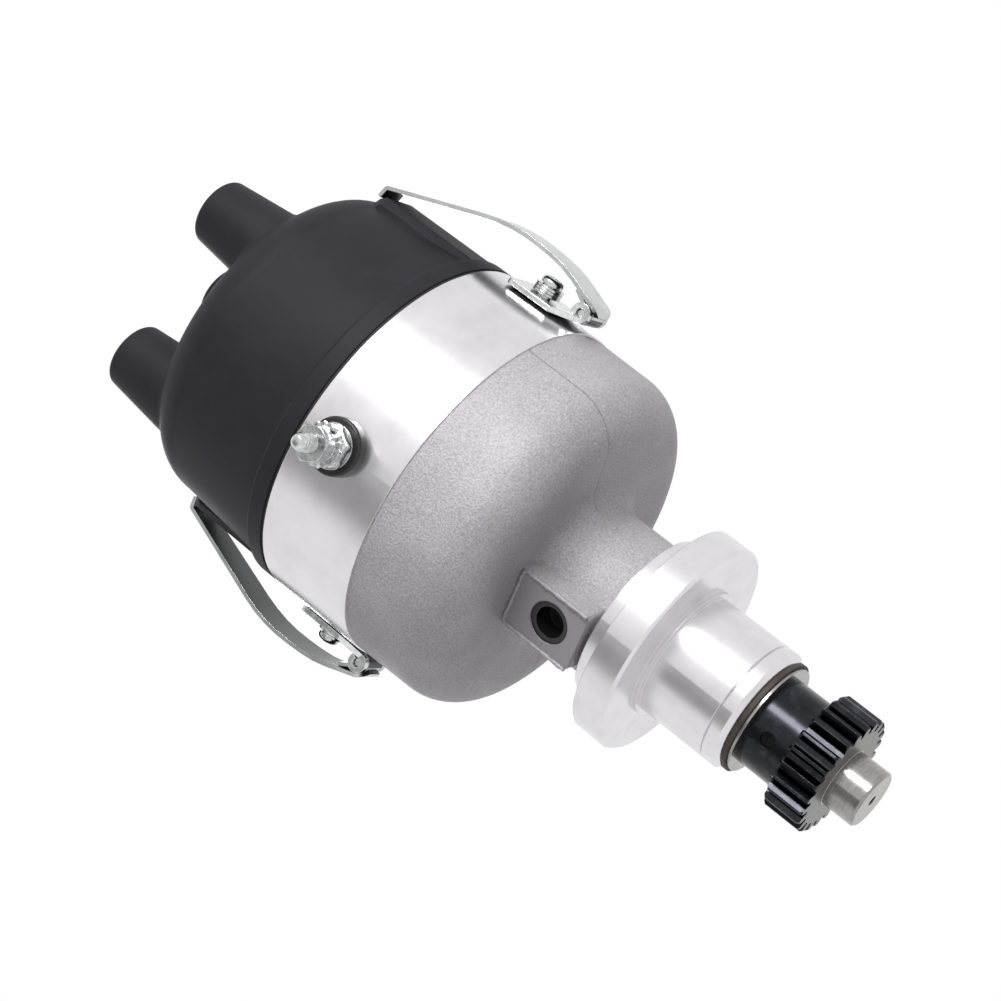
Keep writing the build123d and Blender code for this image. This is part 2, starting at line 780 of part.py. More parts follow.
def breaker_spring():
    # A leaf riveted to the arm that loops out past the pivot towards the terminal's strip.
    x, y = arm_pivot
    start_x = arm_x + (arm_t + leaf_t) / 2
    end_x = strip_face_x - leaf_end_gap
    loop_y = y + arm_sleeve_r + 1
    path = FilletPolyline(
        (start_x, leaf_start_y),
        (start_x, leaf_start_y - 2 * leaf_bend),
        ((start_x + end_x) / 2 + leaf_bend, loop_y),
        (end_x, leaf_start_y - 3 * leaf_bend),
        radius=[leaf_bend, leaf_bend / 2],
    )
    leaf = make_face(offset(path, leaf_t / 2, side=Side.BOTH).edges())
    return extrude(Plane.XY.offset(arm_base_z + (arm_height - arm_t - leaf_width) / 2) * leaf, leaf_width)


def lock_screw():
    length = contact_plate_top_z - ledge_z
    return slotted_screw(length, lock_screw_head_r, small_head_t, contact_plate_top_z, *lock_screw_at)


def condenser():
    can = Pos(condenser_x, 0, condenser_z) * Rot(90, 0, 0) * Cylinder(condenser_r, condenser_length)
    return fillet(can.edges().filter_by(GeomType.CIRCLE), 1.0)


def condenser_clamp():
    # A band round the can whose foot is screwed to the breaker plate.
    band = Cylinder(condenser_r + clamp_t, clamp_width) - Cylinder(condenser_r, clamp_width + 1)
    band = Pos(condenser_x, 0, condenser_z) * Rot(90, 0, 0) * band
    below = Box(4 * condenser_r, clamp_width + 2, 2 * condenser_r)
    band -= Pos(condenser_x, 0, plate_top_z - condenser_r) * below
    side_x = condenser_x + condenser_r
    end_x = clamp_screw_x + clamp_foot_end
    foot = Pos((side_x + end_x) / 2, 0, plate_top_z + clamp_t / 2) * Box(end_x - side_x, clamp_width, clamp_t)
    side = Pos(side_x + clamp_t / 2, 0, (plate_top_z + condenser_z) / 2) * Box(
        clamp_t, clamp_width, condenser_z - plate_top_z
    )
    return band + foot + side - rod(plate_screw_r, plate_top_z - 1, plate_top_z + 2, clamp_screw_x, 0)


def condenser_screw():
    seat_z = plate_top_z + clamp_t
    return slotted_screw(plate_t + clamp_t, clamp_head_r, clamp_head_t, seat_z, clamp_screw_x, 0)


def terminal_stud():
    # A screw out through the bowl wall, with its head inside and its free end turned down a little.
    stud = radial_bar(stud_end_r, inner_insulator_x, terminal_tip, 0, terminal_z)
    stud = chamfer(stud.edges().group_by(Axis.X)[-1], stud_chamfer)
    stud += radial_bar(stud_r, inner_insulator_x - 1, terminal_stack()["end"], 0, terminal_z)
    return stud + radial_prism(hexagon(stud_head_flats), stud_head_x, inner_insulator_x, 0, terminal_z)


def outer_insulator():
    end = ring_r + insulator_t
    disc = radial_bar(insulator_r, ring_r - insulator_sink, end, 0, terminal_z)
    disc -= rod(ring_r, ring_base_z, ring_top_z)
    disc = fillet(disc.edges().filter_by(GeomType.CIRCLE).group_by(Axis.X)[-1], 0.6)
    neck = radial_bar(insulator_neck_r, insulator_joint_x, ring_r + insulator_t / 4, 0, terminal_z)
    return disc + neck - radial_bar(stud_r, cavity_r, end + 1, 0, terminal_z)


def inner_insulator():
    disc = radial_bar(inner_insulator_r, inner_insulator_x, insulator_joint_x, 0, terminal_z)
    disc &= rod(cavity_r, ring_base_z, ring_top_z)
    neck = radial_bar(insulator_neck_r, inner_insulator_x, insulator_joint_x, 0, terminal_z)
    return disc + neck - radial_bar(stud_r, inner_insulator_x - 2, insulator_joint_x + 1, 0, terminal_z)


def terminal_stack():
    # Distances along the stud: washer, nut, two washers and the outer nut.
    places = {"washer_low": ring_r + insulator_t}
    places["nut_low"] = places["washer_low"] + terminal_washer_t
    places["washer_high"] = places["nut_low"] + terminal_nut_t
    places["nut_high"] = places["washer_high"] + 2 * terminal_washer_t
    places["end"] = places["nut_high"] + terminal_nut_t
    return places


def terminal_washers():
    at = terminal_stack()
    hole = radial_bar(stud_r, cavity_r, terminal_tip + 1, 0, terminal_z)
    low = radial_bar(terminal_washer_r, at["washer_low"], at["nut_low"], 0, terminal_z) - hole
    middle = at["washer_high"] + terminal_washer_t
    flat = radial_bar(terminal_washer_r - 0.2, at["washer_high"], middle, 0, terminal_z) - hole
    spring = radial_bar(terminal_washer_r - 0.9, middle, at["nut_high"], 0, terminal_z) - hole
    return Compound([low, flat, spring])


def terminal_nuts():
    at = terminal_stack()
    nuts = []
    for start in (at["nut_low"], at["nut_high"]):
        nut = radial_prism(hexagon(terminal_nut_flats), start, start + terminal_nut_t, 0, terminal_z)
        rounding = radial_bar(terminal_nut_flats * 0.56, start, start + terminal_nut_t, 0, terminal_z)
        rounding = chamfer(rounding.edges().filter_by(GeomType.CIRCLE), terminal_nut_edge)
        hole = radial_bar(stud_r, start - 1, start + terminal_nut_t + 1, 0, terminal_z)
        nuts.append((nut & rounding) - hole)
    return Compound(nuts)


def primary_strip():
    # Copper strip from the terminal's head to the end of the breaker spring.
    end_y = stud_head_flats / 2
    strip = Box(strip_t, strip_length, strip_width)
    return Pos(strip_face_x + strip_t / 2, end_y - strip_length / 2, contact_z) * strip


def cap_gasket():
    return tube(ring_r - ring_edge, cavity_r, ring_top_z, cap_base_z)


def cap_outside():
    return turned(
        (0, cap_base_z),
        (ring_r, cap_base_z),
        (ring_r, cap_rim_top_z - cap_body_step / 2, cap_rim_edge),
        (cap_body_r, cap_rim_top_z, cap_rim_edge),
        (cap_shoulder_r, cap_shoulder_z),
        (cap_shoulder_r, cap_top_z, cap_corner),
        (0, cap_top_z),
    )


def tower(tip_r, height):
    # A tapered tower on the axis, wider where it leaves the cap.
    length = cap_top_z + height - cap_ceiling_z
    base_r = tip_r + length * math.tan(math.radians(tower_draft))
    cone = Cone(base_r, tip_r, length, align=(Align.CENTER, Align.CENTER, Align.MIN))
    cone = fillet(cone.edges().filter_by(GeomType.CIRCLE).group_by(Axis.Z)[-1], tower_edge)
    return Pos(0, 0, cap_ceiling_z) * cone


def clip_landing():
    # The raised pad under a clip, with bevelled sides and a sloped top for the clip's hook.
    root_y = cap_shoulder_r - landing_depth
    top_z = hook_z - clip_t / 2 - free_gap
    outline = Polyline(
        (root_y, cap_rim_top_z - 1),
        (landing_face, cap_rim_top_z - 1),
        (landing_face, top_z - 1.4),
        (hook_y, top_z - 0.1),
        (cap_shoulder_r - 2.2, top_z + 1.6),
        (root_y, top_z + 1.6),
        close=True,
    )
    pad = side_plate(make_face(outline), landing_width)
    rims = pad.faces().filter_by(Axis.X).edges().filter_by(lambda edge: edge.center().Y > hook_y - 2)
    return chamfer(rims.filter_by(lambda edge: edge.center().Z > cap_rim_top_z), landing_edge)


def distributor_cap():
    plain = cap_outside()
    for side in clip_sides.values():
        plain += opposite(clip_landing(), side)
    towers = [tower(centre_tower_tip_r, centre_tower_height)]
    for angle in tower_angles:
        towers.append(Rot(0, 0, angle) * Pos(tower_at, 0, 0) * tower(tower_tip_r, tower_height))
    cap = plain + towers
    cap = fillet(new_edges(plain, *towers, combined=cap), tower_foot)
    cap -= turned(
        (0, cap_base_z - 1),
        (cap_mouth_r, cap_base_z - 1),
        (cap_mouth_r, cap_base_z),
        (cap_inner_r, cap_shoulder_z - cap_wall),
        (cap_inner_r, cap_ceiling_z, cap_inner_corner),
        (0, cap_ceiling_z),
    )
    cap += tube(cap_spigot_r, cap_mouth_r, cap_base_z - cap_spigot_depth, cap_base_z + 1)
    for angle in tower_angles:
        cap += Rot(0, 0, angle) * rod(electrode_boss_r, electrode_boss_z, cap_top_z - 1, tower_at, 0)
    cap += rod(electrode_boss_r, centre_boss_z, cap_top_z - 1)
    for angle in tower_angles:
        socket = rod(socket_r, socket_floor_z, tower_tip_z + 1, tower_at, 0)
        socket += rod(electrode_r, electrode_boss_z - 1, socket_floor_z, tower_at, 0)
        cap -= Rot(0, 0, angle) * socket
    cap -= rod(socket_r, socket_floor_z, tower_tip_z + 1)
    return cap - rod(electrode_r, centre_boss_z - 1, socket_floor_z)


def cap_electrodes():
    rods = []
    for angle in tower_angles:
        rods.append(Rot(0, 0, angle) * rod(electrode_r, electrode_end_z, socket_floor_z, tower_at, 0))
    return Compound(rods)


def centre_electrode():
    return rod(electrode_r, centre_boss_z + button_head_t, socket_floor_z)


def carbon_button():
    button = rod(button_r, button_end_z, centre_boss_z + button_head_t)
    return button + rod(electrode_r, centre_boss_z, centre_boss_z + button_head_t)


def rotor():
    # Moulded rotor pressed on the cam's neck, with a flared skirt and one arm.
    crown_r = rotor_stem_r - 1.0
    skirt_top_z = rotor_base_z + rotor_skirt_t
    body = turned(
        (cam_sleeve_r, rotor_base_z),
        (rotor_skirt_r, rotor_base_z),
        (rotor_skirt_r, skirt_top_z, 1.2),
        (rotor_stem_r, skirt_top_z + 1.5, 1.0),
        (crown_r, rotor_arm_z),
        (crown_r, blade_z),
        (0, blade_z),
        (0, cam_top_z),
        (cam_sleeve_r, cam_top_z),
    )
    arm = side_beam(crown_r - rotor_arm_width / 2, rotor_arm_reach, rotor_arm_width, rotor_arm_z, blade_z)
    return Rot(0, 0, rotor_angle) * (body + arm) + rotor_key()


def rotor_key():
    key = key_bar() & rod(cam_sleeve_r, rotor_base_z, cam_top_z - free_gap)
    root = Box(1.2, key_width, key_length - 2 * free_gap)
    return key + Pos(cam_sleeve_r + 0.5, 0, cam_top_z - key_length / 2) * root


def rotor_blade():
    blade = side_beam(rotor_stem_r / 2, blade_reach, blade_width, blade_z, blade_top_z)
    return Rot(0, 0, rotor_angle) * blade


def side_beam(back, reach, width, low, high):
    # A flat bar along +X across the axis, with its far end rounded to its reach.
    bar = Box(back + reach, width, high - low)
    return Pos((reach - back) / 2, 0, (low + high) / 2) * bar & rod(reach, low, high)


def rotor_spring():
    # A thin leaf that rises from the blade to the carbon button.
    low = blade_top_z + leaf_t / 2
    top = button_end_z - seat_gap - leaf_t / 2
    middle = (rotor_leaf_start + rotor_leaf_end) / 2
    path = FilletPolyline(
        (rotor_leaf_start, low),
        (middle + button_r, low),
        (button_r, top),
        (rotor_leaf_end, top),
        radius=[leaf_bend, leaf_bend],
    )
    leaf = make_face(offset(path, leaf_t / 2, side=Side.BOTH).edges())
    return Rot(0, 0, rotor_angle) * extrude(Plane.XZ * leaf, rotor_leaf_width / 2, both=True)


def clip_bracket():
    # A plate formed to the ring, bent out to two knuckles for the hinge pin.
    plate = tube(ring_r + bracket_t, ring_r, bracket_bend_z, bracket_top_z)
    front = Box(bracket_width, ring_r / 2, ring_height)
    plate &= Pos(0, ring_r, (bracket_bend_z + bracket_top_z) / 2) * front
    flat_y = ring_r + bracket_t / 2
    path = FilletPolyline(
        (flat_y, bracket_bend_z + bracket_t),
        (flat_y, bracket_bend_z - bracket_t / 2),
        (eye_y - eye_r + bracket_t / 2, eye_z),
        radius=[bracket_bend],
    )
    leg = side_plate(make_face(offset(path, bracket_t / 2, side=Side.BOTH).edges()), bracket_width)
    leg -= rod(ring_r, ring_base_z - 5, ring_top_z)
    bracket = plate + leg + side_plate(eye_disc(eye_r), bracket_width)
    bracket -= side_plate(eye_disc(eye_r + eye_slot_gap), tongue_width + 2 * free_gap)
    bracket -= side_plate(eye_disc(hinge_pin_r), bracket_width + 1)
    return bracket - radial_bar(clip_screw_r, ring_r - 2, ring_r + 4, 90, clip_screw_z)


def eye_disc(radius):
    # A disc about the clip's hinge, in the plane of Y and Z.
    return Pos(eye_y, eye_z) * Circle(radius)


def hinge_pin():
    pin = side_plate(eye_disc(hinge_pin_r), bracket_width)
    head = Pos((bracket_width + hinge_head_t) / 2, eye_y, eye_z) * Rot(0, 90, 0)
    return pin + head * Cylinder(hinge_pin_r + 0.5, hinge_head_t)


def clip_screw():
    end = clip_head_y + clip_screw_head_t
    screw = radial_bar(clip_screw_r, cavity_r, clip_head_y, 90, clip_screw_z)
    head = radial_bar(clip_screw_head_r, clip_head_y, end, 90, clip_screw_z)
    head = fillet(head.edges().filter_by(GeomType.CIRCLE).group_by(Axis.Y)[-1], 0.8)
    return screw + head - Pos(0, end, clip_screw_z) * Box(3 * clip_screw_head_r, 1.6, 0.9)


def lock_washer():
    # A split spring washer.
    outer_r = clip_screw_head_r + 0.3
    ring = radial_bar(outer_r, lock_washer_y, clip_head_y, 90, clip_screw_z)
    ring -= radial_bar(clip_screw_r, lock_washer_y - 1, clip_head_y + 1, 90, clip_screw_z)
    split = Rot(0, 20, 0) * Box(0.8, 3 * lock_washer_t, outer_r)
    return ring - Pos(0, lock_washer_y + lock_washer_t / 2, clip_screw_z + clip_screw_head_r) * split


def clip():
    # A bowed spring strap with a rolled eye at one end and a hook at the other.
    path = FilletPolyline(
        (eye_y + eye_r - clip_t / 2 - 0.1, eye_z),
        (ring_r + bow_low[0], ring_base_z + bow_low[1]),
        (ring_r + bow_high[0], ring_base_z + bow_high[1]),
        (cap_shoulder_r + hook_bend_at[0], cap_shoulder_z + hook_bend_at[1]),
        (hook_y, hook_z),
        radius=[bow_low_bend, bow_high_bend, clip_t],
    )
    strap = side_plate(make_face(offset(path, clip_t / 2, side=Side.BOTH).edges()), clip_width)
    strap -= side_plate(eye_disc(eye_r + eye_slot_gap), clip_width + 2)
    strap &= Plane.XZ * extrude(strap_front(), -2 * ring_r)
    neck = side_plate(make_face(offset(path, clip_t / 2, side=Side.BOTH).edges()), tongue_width)
    neck &= side_plate(eye_disc(2 * eye_r), tongue_width)
    eye = side_plate(eye_disc(eye_r), tongue_width)
    return strap + neck + eye - side_plate(eye_disc(hinge_pin_r + run_gap), clip_width + 1)


def strap_front():
    # The strap seen from outside: it narrows above the bow.
    half = clip_width / 2
    tip_half = clip_tip_width / 2
    low = eye_z - 2 * eye_r
    bow = ring_base_z + bow_high[1]
    high = hook_z + 2
    outline = [(half, low), (half, bow), (tip_half, high), (-tip_half, high), (-half, bow), (-half, low)]
    return make_face(Polyline(*outline, close=True))


def write(shape, name):
    export_step(shape, "parts/" + name + ".step")


def main():
    os.makedirs("parts", exist_ok=True)
    write(housing(), "housing")
    write(oiler_plug(), "oiler_plug")
    write(bushing(-pilot_length + lower_bush_inset, -pilot_length + lower_bush_length), "lower_bushing")
    write(bushing(floor_z - upper_bush_length, floor_z - upper_bush_inset), "upper_bushing")
    write(drive_shaft(), "drive_shaft")
    write(drive_gear(), "drive_gear")
    write(gear_pin(), "gear_pin")
    write(fibre_washer(), "fibre_thrust_washer")
    write(steel_washer(), "steel_thrust_washer")
    write(upper_thrust_washer(), "upper_thrust_washer")
    write(weight_base_plate(), "weight_base_plate")
    for number, turn in ((1, 0), (2, 180)):
        write(advance_weight(turn), f"advance_weight_{number}")
        write(advance_spring(turn), f"advance_spring_{number}")
    write(breaker_cam(), "breaker_cam")
    write(felt_wick(), "felt_wick")
    write(breaker_plate(), "breaker_plate")
    write(plate_screws(), "breaker_plate_screws")
    write(fixed_contact_bracket(), "fixed_contact_bracket")
    write(fixed_contact(), "fixed_contact")
    write(lock_screw(), "contact_lock_screw")
    write(pivot_post(), "arm_pivot_post")
    write(breaker_arm(), "breaker_arm")
    write(arm_contact(), "moving_contact")
    write(rubbing_block(), "rubbing_block")
    write(breaker_spring(), "breaker_spring")
    write(condenser(), "condenser")
    write(condenser_clamp(), "condenser_clamp")
    write(condenser_screw(), "condenser_screw")
    write(terminal_stud(), "terminal_stud")
    write(outer_insulator(), "terminal_insulator_outer")
    write(inner_insulator(), "terminal_insulator_inner")
    write(terminal_washers(), "terminal_washers")
    write(terminal_nuts(), "terminal_nuts")
    write(primary_strip(), "primary_strip")
    write(cap_gasket(), "cap_gasket")
    write(distributor_cap(), "distributor_cap")
    write(cap_electrodes(), "cap_electrodes")
    write(centre_electrode(), "centre_electrode")
    write(carbon_button(), "carbon_button")
    write(rotor(), "rotor")
    write(rotor_blade(), "rotor_blade")
    write(rotor_spring(), "rotor_spring")
    for name, side in clip_sides.items():
        write(opposite(clip(), side), f"clip_{name}")
        write(opposite(clip_bracket(), side), f"clip_bracket_{name}")
        write(opposite(hinge_pin(), side), f"hinge_pin_{name}")
        write(opposite(clip_screw(), side), f"clip_screw_{name}")
        write(opposite(lock_washer(), side), f"lock_washer_{name}")


main()
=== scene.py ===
import bmesh
import bpy
import json
import math
from mathutils import Matrix, Vector


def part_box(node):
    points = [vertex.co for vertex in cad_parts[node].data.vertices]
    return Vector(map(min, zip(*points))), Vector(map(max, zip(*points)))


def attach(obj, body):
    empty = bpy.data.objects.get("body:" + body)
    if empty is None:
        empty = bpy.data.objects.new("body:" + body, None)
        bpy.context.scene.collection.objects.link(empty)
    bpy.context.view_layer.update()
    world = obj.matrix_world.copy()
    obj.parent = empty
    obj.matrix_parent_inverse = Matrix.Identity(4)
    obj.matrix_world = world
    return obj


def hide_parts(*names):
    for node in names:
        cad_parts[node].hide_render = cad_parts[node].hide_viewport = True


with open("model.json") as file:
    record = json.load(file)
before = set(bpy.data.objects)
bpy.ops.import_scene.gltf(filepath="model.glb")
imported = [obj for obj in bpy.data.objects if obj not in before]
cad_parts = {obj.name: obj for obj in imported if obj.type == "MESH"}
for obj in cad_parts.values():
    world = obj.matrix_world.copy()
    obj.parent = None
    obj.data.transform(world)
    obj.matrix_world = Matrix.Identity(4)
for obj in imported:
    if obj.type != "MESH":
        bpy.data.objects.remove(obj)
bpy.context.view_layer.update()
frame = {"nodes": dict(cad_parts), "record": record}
scene = bpy.context.scene
mm = 0.001
print("frame loaded with", len(frame["nodes"]), "nodes")

# the distributor stands along Z, cap up: its terminal is on +X, its clips on +Y and -Y
ringLow = 54.4 * mm               # the bright ring's lower edge, where the cast bowl begins
bossTurn = math.radians(-22.0)    # where the boss on the neck looks, round Z from +X

cameraSetup = {
    "place": (0.45844, 0.10972, -0.14275),
    "forward": (-0.9003, -0.21197, 0.38016),
    "up": (0.04623, 0.82189, 0.56776),
    "lens": 88.11,
    "sensor": 36.0,
    "clipStart": 0.01,
}


def facing(place, forward, up):
    # turns a camera or lamp at place so that it looks along forward
    back = -Vector(forward).normalized()
    right = Vector(up).cross(back).normalized()
    turned = Matrix((right, back.cross(right), back)).transposed().to_4x4()
    turned.translation = Vector(place)
    return turned


def addCamera(setup):
    data = bpy.data.cameras.new("photoCamera")
    data.lens = setup["lens"]
    data.sensor_width = setup["sensor"]
    data.clip_start = setup["clipStart"]
    camera = bpy.data.objects.new("photoCamera", data)
    camera.matrix_world = facing(setup["place"], setup["forward"], setup["up"])
    scene.collection.objects.link(camera)
    scene.camera = camera


addCamera(cameraSetup)
print("camera placed")


class Value:
    # one output of a shader node, which takes part in plain sums and products
    def __init__(self, shader, socket):
        self.shader = shader
        self.socket = socket

    def maths(self, operation, first, second=None):
        inputs = {0: first} if second is None else {0: first, 1: second}
        return self.shader.node("ShaderNodeMath", {"operation": operation}, inputs)

    def __add__(self, other):
        return self.maths("ADD", self, other)

    def __radd__(self, other):
        return self.maths("ADD", other, self)

    def __sub__(self, other):
        return self.maths("SUBTRACT", self, other)

    def __rsub__(self, other):
        return self.maths("SUBTRACT", other, self)

    def __mul__(self, other):
        return self.maths("MULTIPLY", self, other)

    def __rmul__(self, other):
        return self.maths("MULTIPLY", other, self)

    def __truediv__(self, other):
        return self.maths("DIVIDE", self, other)

    def __rtruediv__(self, other):
        return self.maths("DIVIDE", other, self)

    def __gt__(self, other):
        return self.maths("GREATER_THAN", self, other)

    def __lt__(self, other):
        return self.maths("LESS_THAN", self, other)

    def __abs__(self):
        return self.maths("ABSOLUTE", self)

    def root(self):
        return self.maths("SQRT", self)

    def least(self, other):
        return self.maths("MINIMUM", self, other)

    def turnFrom(self, ahead):
        # the angle in radians of a point that lies this far aside and so far ahead
        return self.maths("ARCTAN2", self, ahead)


class Shader:
    # a node tree under construction
    def __init__(self, name, tree=None):
        self.material = None if tree else bpy.data.materials.new(name)
        if self.material:
            self.material.use_nodes = True
        self.tree = tree or self.material.node_tree
        self.tree.nodes.clear()

    def node(self, kind, settings=None, inputs=None, output=0):
        # settings come first, then the sockets' values or links
        made = self.tree.nodes.new(kind)
        for name, value in (settings or {}).items():
            setattr(made, name, value)
        for name, value in (inputs or {}).items():
            if isinstance(value, Value):
                self.tree.links.new(value.socket, made.inputs[name])
            else:
                made.inputs[name].default_value = value
        return Value(self, made.outputs[output]) if len(made.outputs) else None

    def outputs(self, kind, names, inputs=None):
        # several outputs of one node
        made = self.node(kind, None, inputs).socket.node
        return [Value(self, made.outputs[name]) for name in names]

    def place(self):
        # the point on the piece in the distributor's own frame, in metres
        return self.node("ShaderNodeTexCoord", output="Object")

    def split(self, vector):
        return self.outputs("ShaderNodeSeparateXYZ", ("X", "Y", "Z"), {0: vector})

    def join(self, x, y, z):
        return self.node("ShaderNodeCombineXYZ", inputs={0: x, 1: y, 2: z})

    def noise(self, vector, scale=1.0, detail=2.0, rough=0.5):
        sockets = {"Vector": vector, "Scale": scale, "Detail": detail, "Roughness": rough}
        return self.node("ShaderNodeTexNoise", inputs=sockets)

    def turnedNoise(self, x, y, z, radius, along, turn, detail=2.0):
        # noise drawn out round the axis, as a lathe tool's marks are
        vector = self.join(x / radius * turn, y / radius * turn, z * along)
        sockets = {"Vector": vector, "W": radius * along, "Scale": 1.0, "Detail": detail}
        return self.node("ShaderNodeTexNoise", {"noise_dimensions": "4D"}, sockets)

    def rise(self, value, low, high):
        # 0 below low, 1 above high, with a soft step between
        sockets = {"Value": value, "From Min": low, "From Max": high}
        return self.node("ShaderNodeMapRange", {"interpolation_type": "SMOOTHSTEP"}, sockets)

    def blend(self, factor, first, second):
        # colours are mixed here, because a sum would turn them grey
        sockets = {0: factor, 6: first, 7: second}
        return self.node("ShaderNodeMix", {"data_type": "RGBA"}, sockets, 2)

    def softEdge(self, radius):
        # shades an edge as if a file had broken it
        return self.node("ShaderNodeBevel", {"samples": 4}, {"Radius": radius})

    def bump(self, height, depth, normal=None):
        sockets = {"Height": height, "Distance": depth}
        if normal is not None:
            sockets["Normal"] = normal
        return self.node("ShaderNodeBump", inputs=sockets)

    def finish(self, sockets):
        surface = self.node("ShaderNodeBsdfPrincipled", inputs=sockets)
        self.node("ShaderNodeOutputMaterial", inputs={"Surface": surface})
        return self.material


def grey(level, tint=(1.0, 1.0, 1.0)):
    return (level * tint[0], level * tint[1], level * tint[2], 1.0)


housingFinish = {
    "castDark": grey(0.36, (1.0, 0.94, 1.0)),
    "castLight": grey(0.60, (1.0, 0.945, 1.0)),
    "castRough": 0.57,
    "castMetal": 0.22,
    "grain": 2500.0,          # casting grain, per metre
    "grainDepth": 0.16 * mm,
    "grainShare": 0.75,       # of the cast shade; wide patches make up the rest
    "patches": 60.0,          # per metre
    "castSteps": (0.34, 0.68),    # between these levels of the noise the shade changes
    "machined": grey(0.74, (1.0, 0.98, 1.01)),
    "machinedDull": grey(0.66, (1.0, 0.975, 1.01)),
    "machinedRough": 0.23,
    "stainRough": 0.06,
    "toolLines": 2600.0,      # turning marks, per metre
    "toolDepth": 0.010 * mm,
    "wipes": 140.0,           # broad streaks round the turned faces, per metre
    "wipeShare": 0.6,
    "stains": 150.0,          # per metre
    "machinedSteps": (0.30, 0.62),
    "shoulderTop": 11.5 * mm,
    "ringLow": ringLow,
    "bossTurn": bossTurn,
    "bossFace": 19.9 * mm,
    "bossBead": 20.04 * mm,   # further out lies the casting flash
    "bossTop": 29.5 * mm,
    # the boss's face colour is painted shade, where the bowl hangs over it
    "facePaintedShade": grey(0.33, (1.0, 0.95, 1.0)),
    "faceCover": 0.8,
    "faceSmooth": 0.7,
    "partingTurn": math.radians(58.5),
    "partingHalf": 0.16 * mm,
    "partingCore": 0.3,       # the seam's full height takes this share of its half width
    "partingFrom": 17 * mm,   # out from the axis: the bowl has the seam, the neck has none
    "partingHeight": 2.5,     # as a multiple of the grain's
    "edge": 0.25 * mm,
}


def housingMaterial(look):
    s = Shader("castAndMachinedAluminium")
    place = s.place()
    x, y, z = s.split(place)
    radius = (x * x + y * y).root()
    cast = (z > look["shoulderTop"]) * (z < look["ringLow"])

    grain = s.noise(place, look["grain"], 3.0, 0.65)
    patches = s.noise(place, look["patches"], 3.0, 0.5)
    mottled = grain * look["grainShare"] + patches * (1 - look["grainShare"])
    castShade = s.rise(mottled, *look["castSteps"])
    outward = x * math.cos(look["bossTurn"]) + y * math.sin(look["bossTurn"])
    onFace = (outward > look["bossFace"]) * (outward < look["bossBead"])
    bossFace = onFace * (z < look["bossTop"])
    castColour = s.blend(castShade, look["castDark"], look["castLight"])
    # painted shade on the boss's face, under the bowl's overhang
    castColour = s.blend(bossFace * look["faceCover"], castColour, look["facePaintedShade"])

    lines = s.turnedNoise(x, y, z, radius, look["toolLines"], 2.0, 3.0)
    wipes = s.turnedNoise(x, y, z, radius, look["wipes"], 3.0, 4.0)
    stains = s.noise(place, look["stains"], 5.0, 0.7)
    streaked = wipes * look["wipeShare"] + stains * (1 - look["wipeShare"])
    machinedShade = s.rise(streaked, *look["machinedSteps"])
    machinedColour = s.blend(machinedShade, look["machinedDull"], look["machined"])

    # the casting's parting line shows as a fine raised seam
    across = abs(y * math.cos(look["partingTurn"]) - x * math.sin(look["partingTurn"]))
    half = look["partingHalf"]
    seam = (1 - s.rise(across, half * look["partingCore"], half)) * (radius > look["partingFrom"])

    colour = s.blend(cast, machinedColour, castColour)
    turnedRough = look["machinedRough"] + stains * look["stainRough"]
    rough = cast * look["castRough"] + (1 - cast) * turnedRough
    metal = cast * look["castMetal"] + (1 - cast)
    edges = s.softEdge(look["edge"])
    relief = grain * (1 - bossFace * look["faceSmooth"]) + seam * look["partingHeight"]
    grained = s.bump(relief * cast, look["grainDepth"], edges)
    tooled = s.bump(lines * (1 - cast), look["toolDepth"], grained)
    sockets = {"Base Color": colour, "Metallic": metal, "Roughness": rough, "Normal": tooled}
    return s.finish(sockets)


capFinish = {
    "dark": grey(0.011, (1.0, 0.93, 1.38)),
    "light": grey(0.018, (1.0, 0.94, 1.32)),
    "rough": 0.54,
    "shine": 0.24,
    "skin": 1600.0,           # moulded skin, per metre
    "skinDepth": 0.018 * mm,
    "dust": 90.0,             # per metre
    "dustSteps": (0.35, 0.75),
    "dustRough": 0.14,
    "edge": 0.5 * mm,
}


def capMaterial(look):
    s = Shader("charcoalMoulding")
    place = s.place()
    skin = s.noise(place, look["skin"], 3.0, 0.6)
    dust = s.noise(place, look["dust"], 5.0, 0.65)
    colour = s.blend(s.rise(dust, *look["dustSteps"]), look["dark"], look["light"])
    rough = look["rough"] + dust * look["dustRough"]
    normal = s.bump(skin, look["skinDepth"], s.softEdge(look["edge"]))
    sockets = {"Base Color": colour, "Roughness": rough, "Normal": normal}
    sockets["Specular IOR Level"] = look["shine"]
    return s.finish(sockets)


gearFinish = {
    "black": grey(0.027, (0.94, 0.97, 1.16)),
    "worn": grey(0.060, (0.97, 0.98, 1.10)),
    "ground": grey(0.27, (1.0, 0.98, 0.97)),
    "groundDark": grey(0.15, (1.0, 0.98, 0.97)),
    "front": -41.15 * mm,
    "rootRadius": 11.2 * mm,
    "rootBlend": 1.4 * mm,
    "blackTeeth": 0.75,       # how much of the oxide the teeth keep on the front face
    "smear": 420.0,           # per metre
    "smearSteps": (0.45, 0.85),
    "grindLines": 4000.0,     # per metre
    "rough": 0.17,
    "smearRough": 0.08,
    "frontRough": 0.16,
    "depth": 0.006 * mm,
    "edge": 0.2 * mm,
}


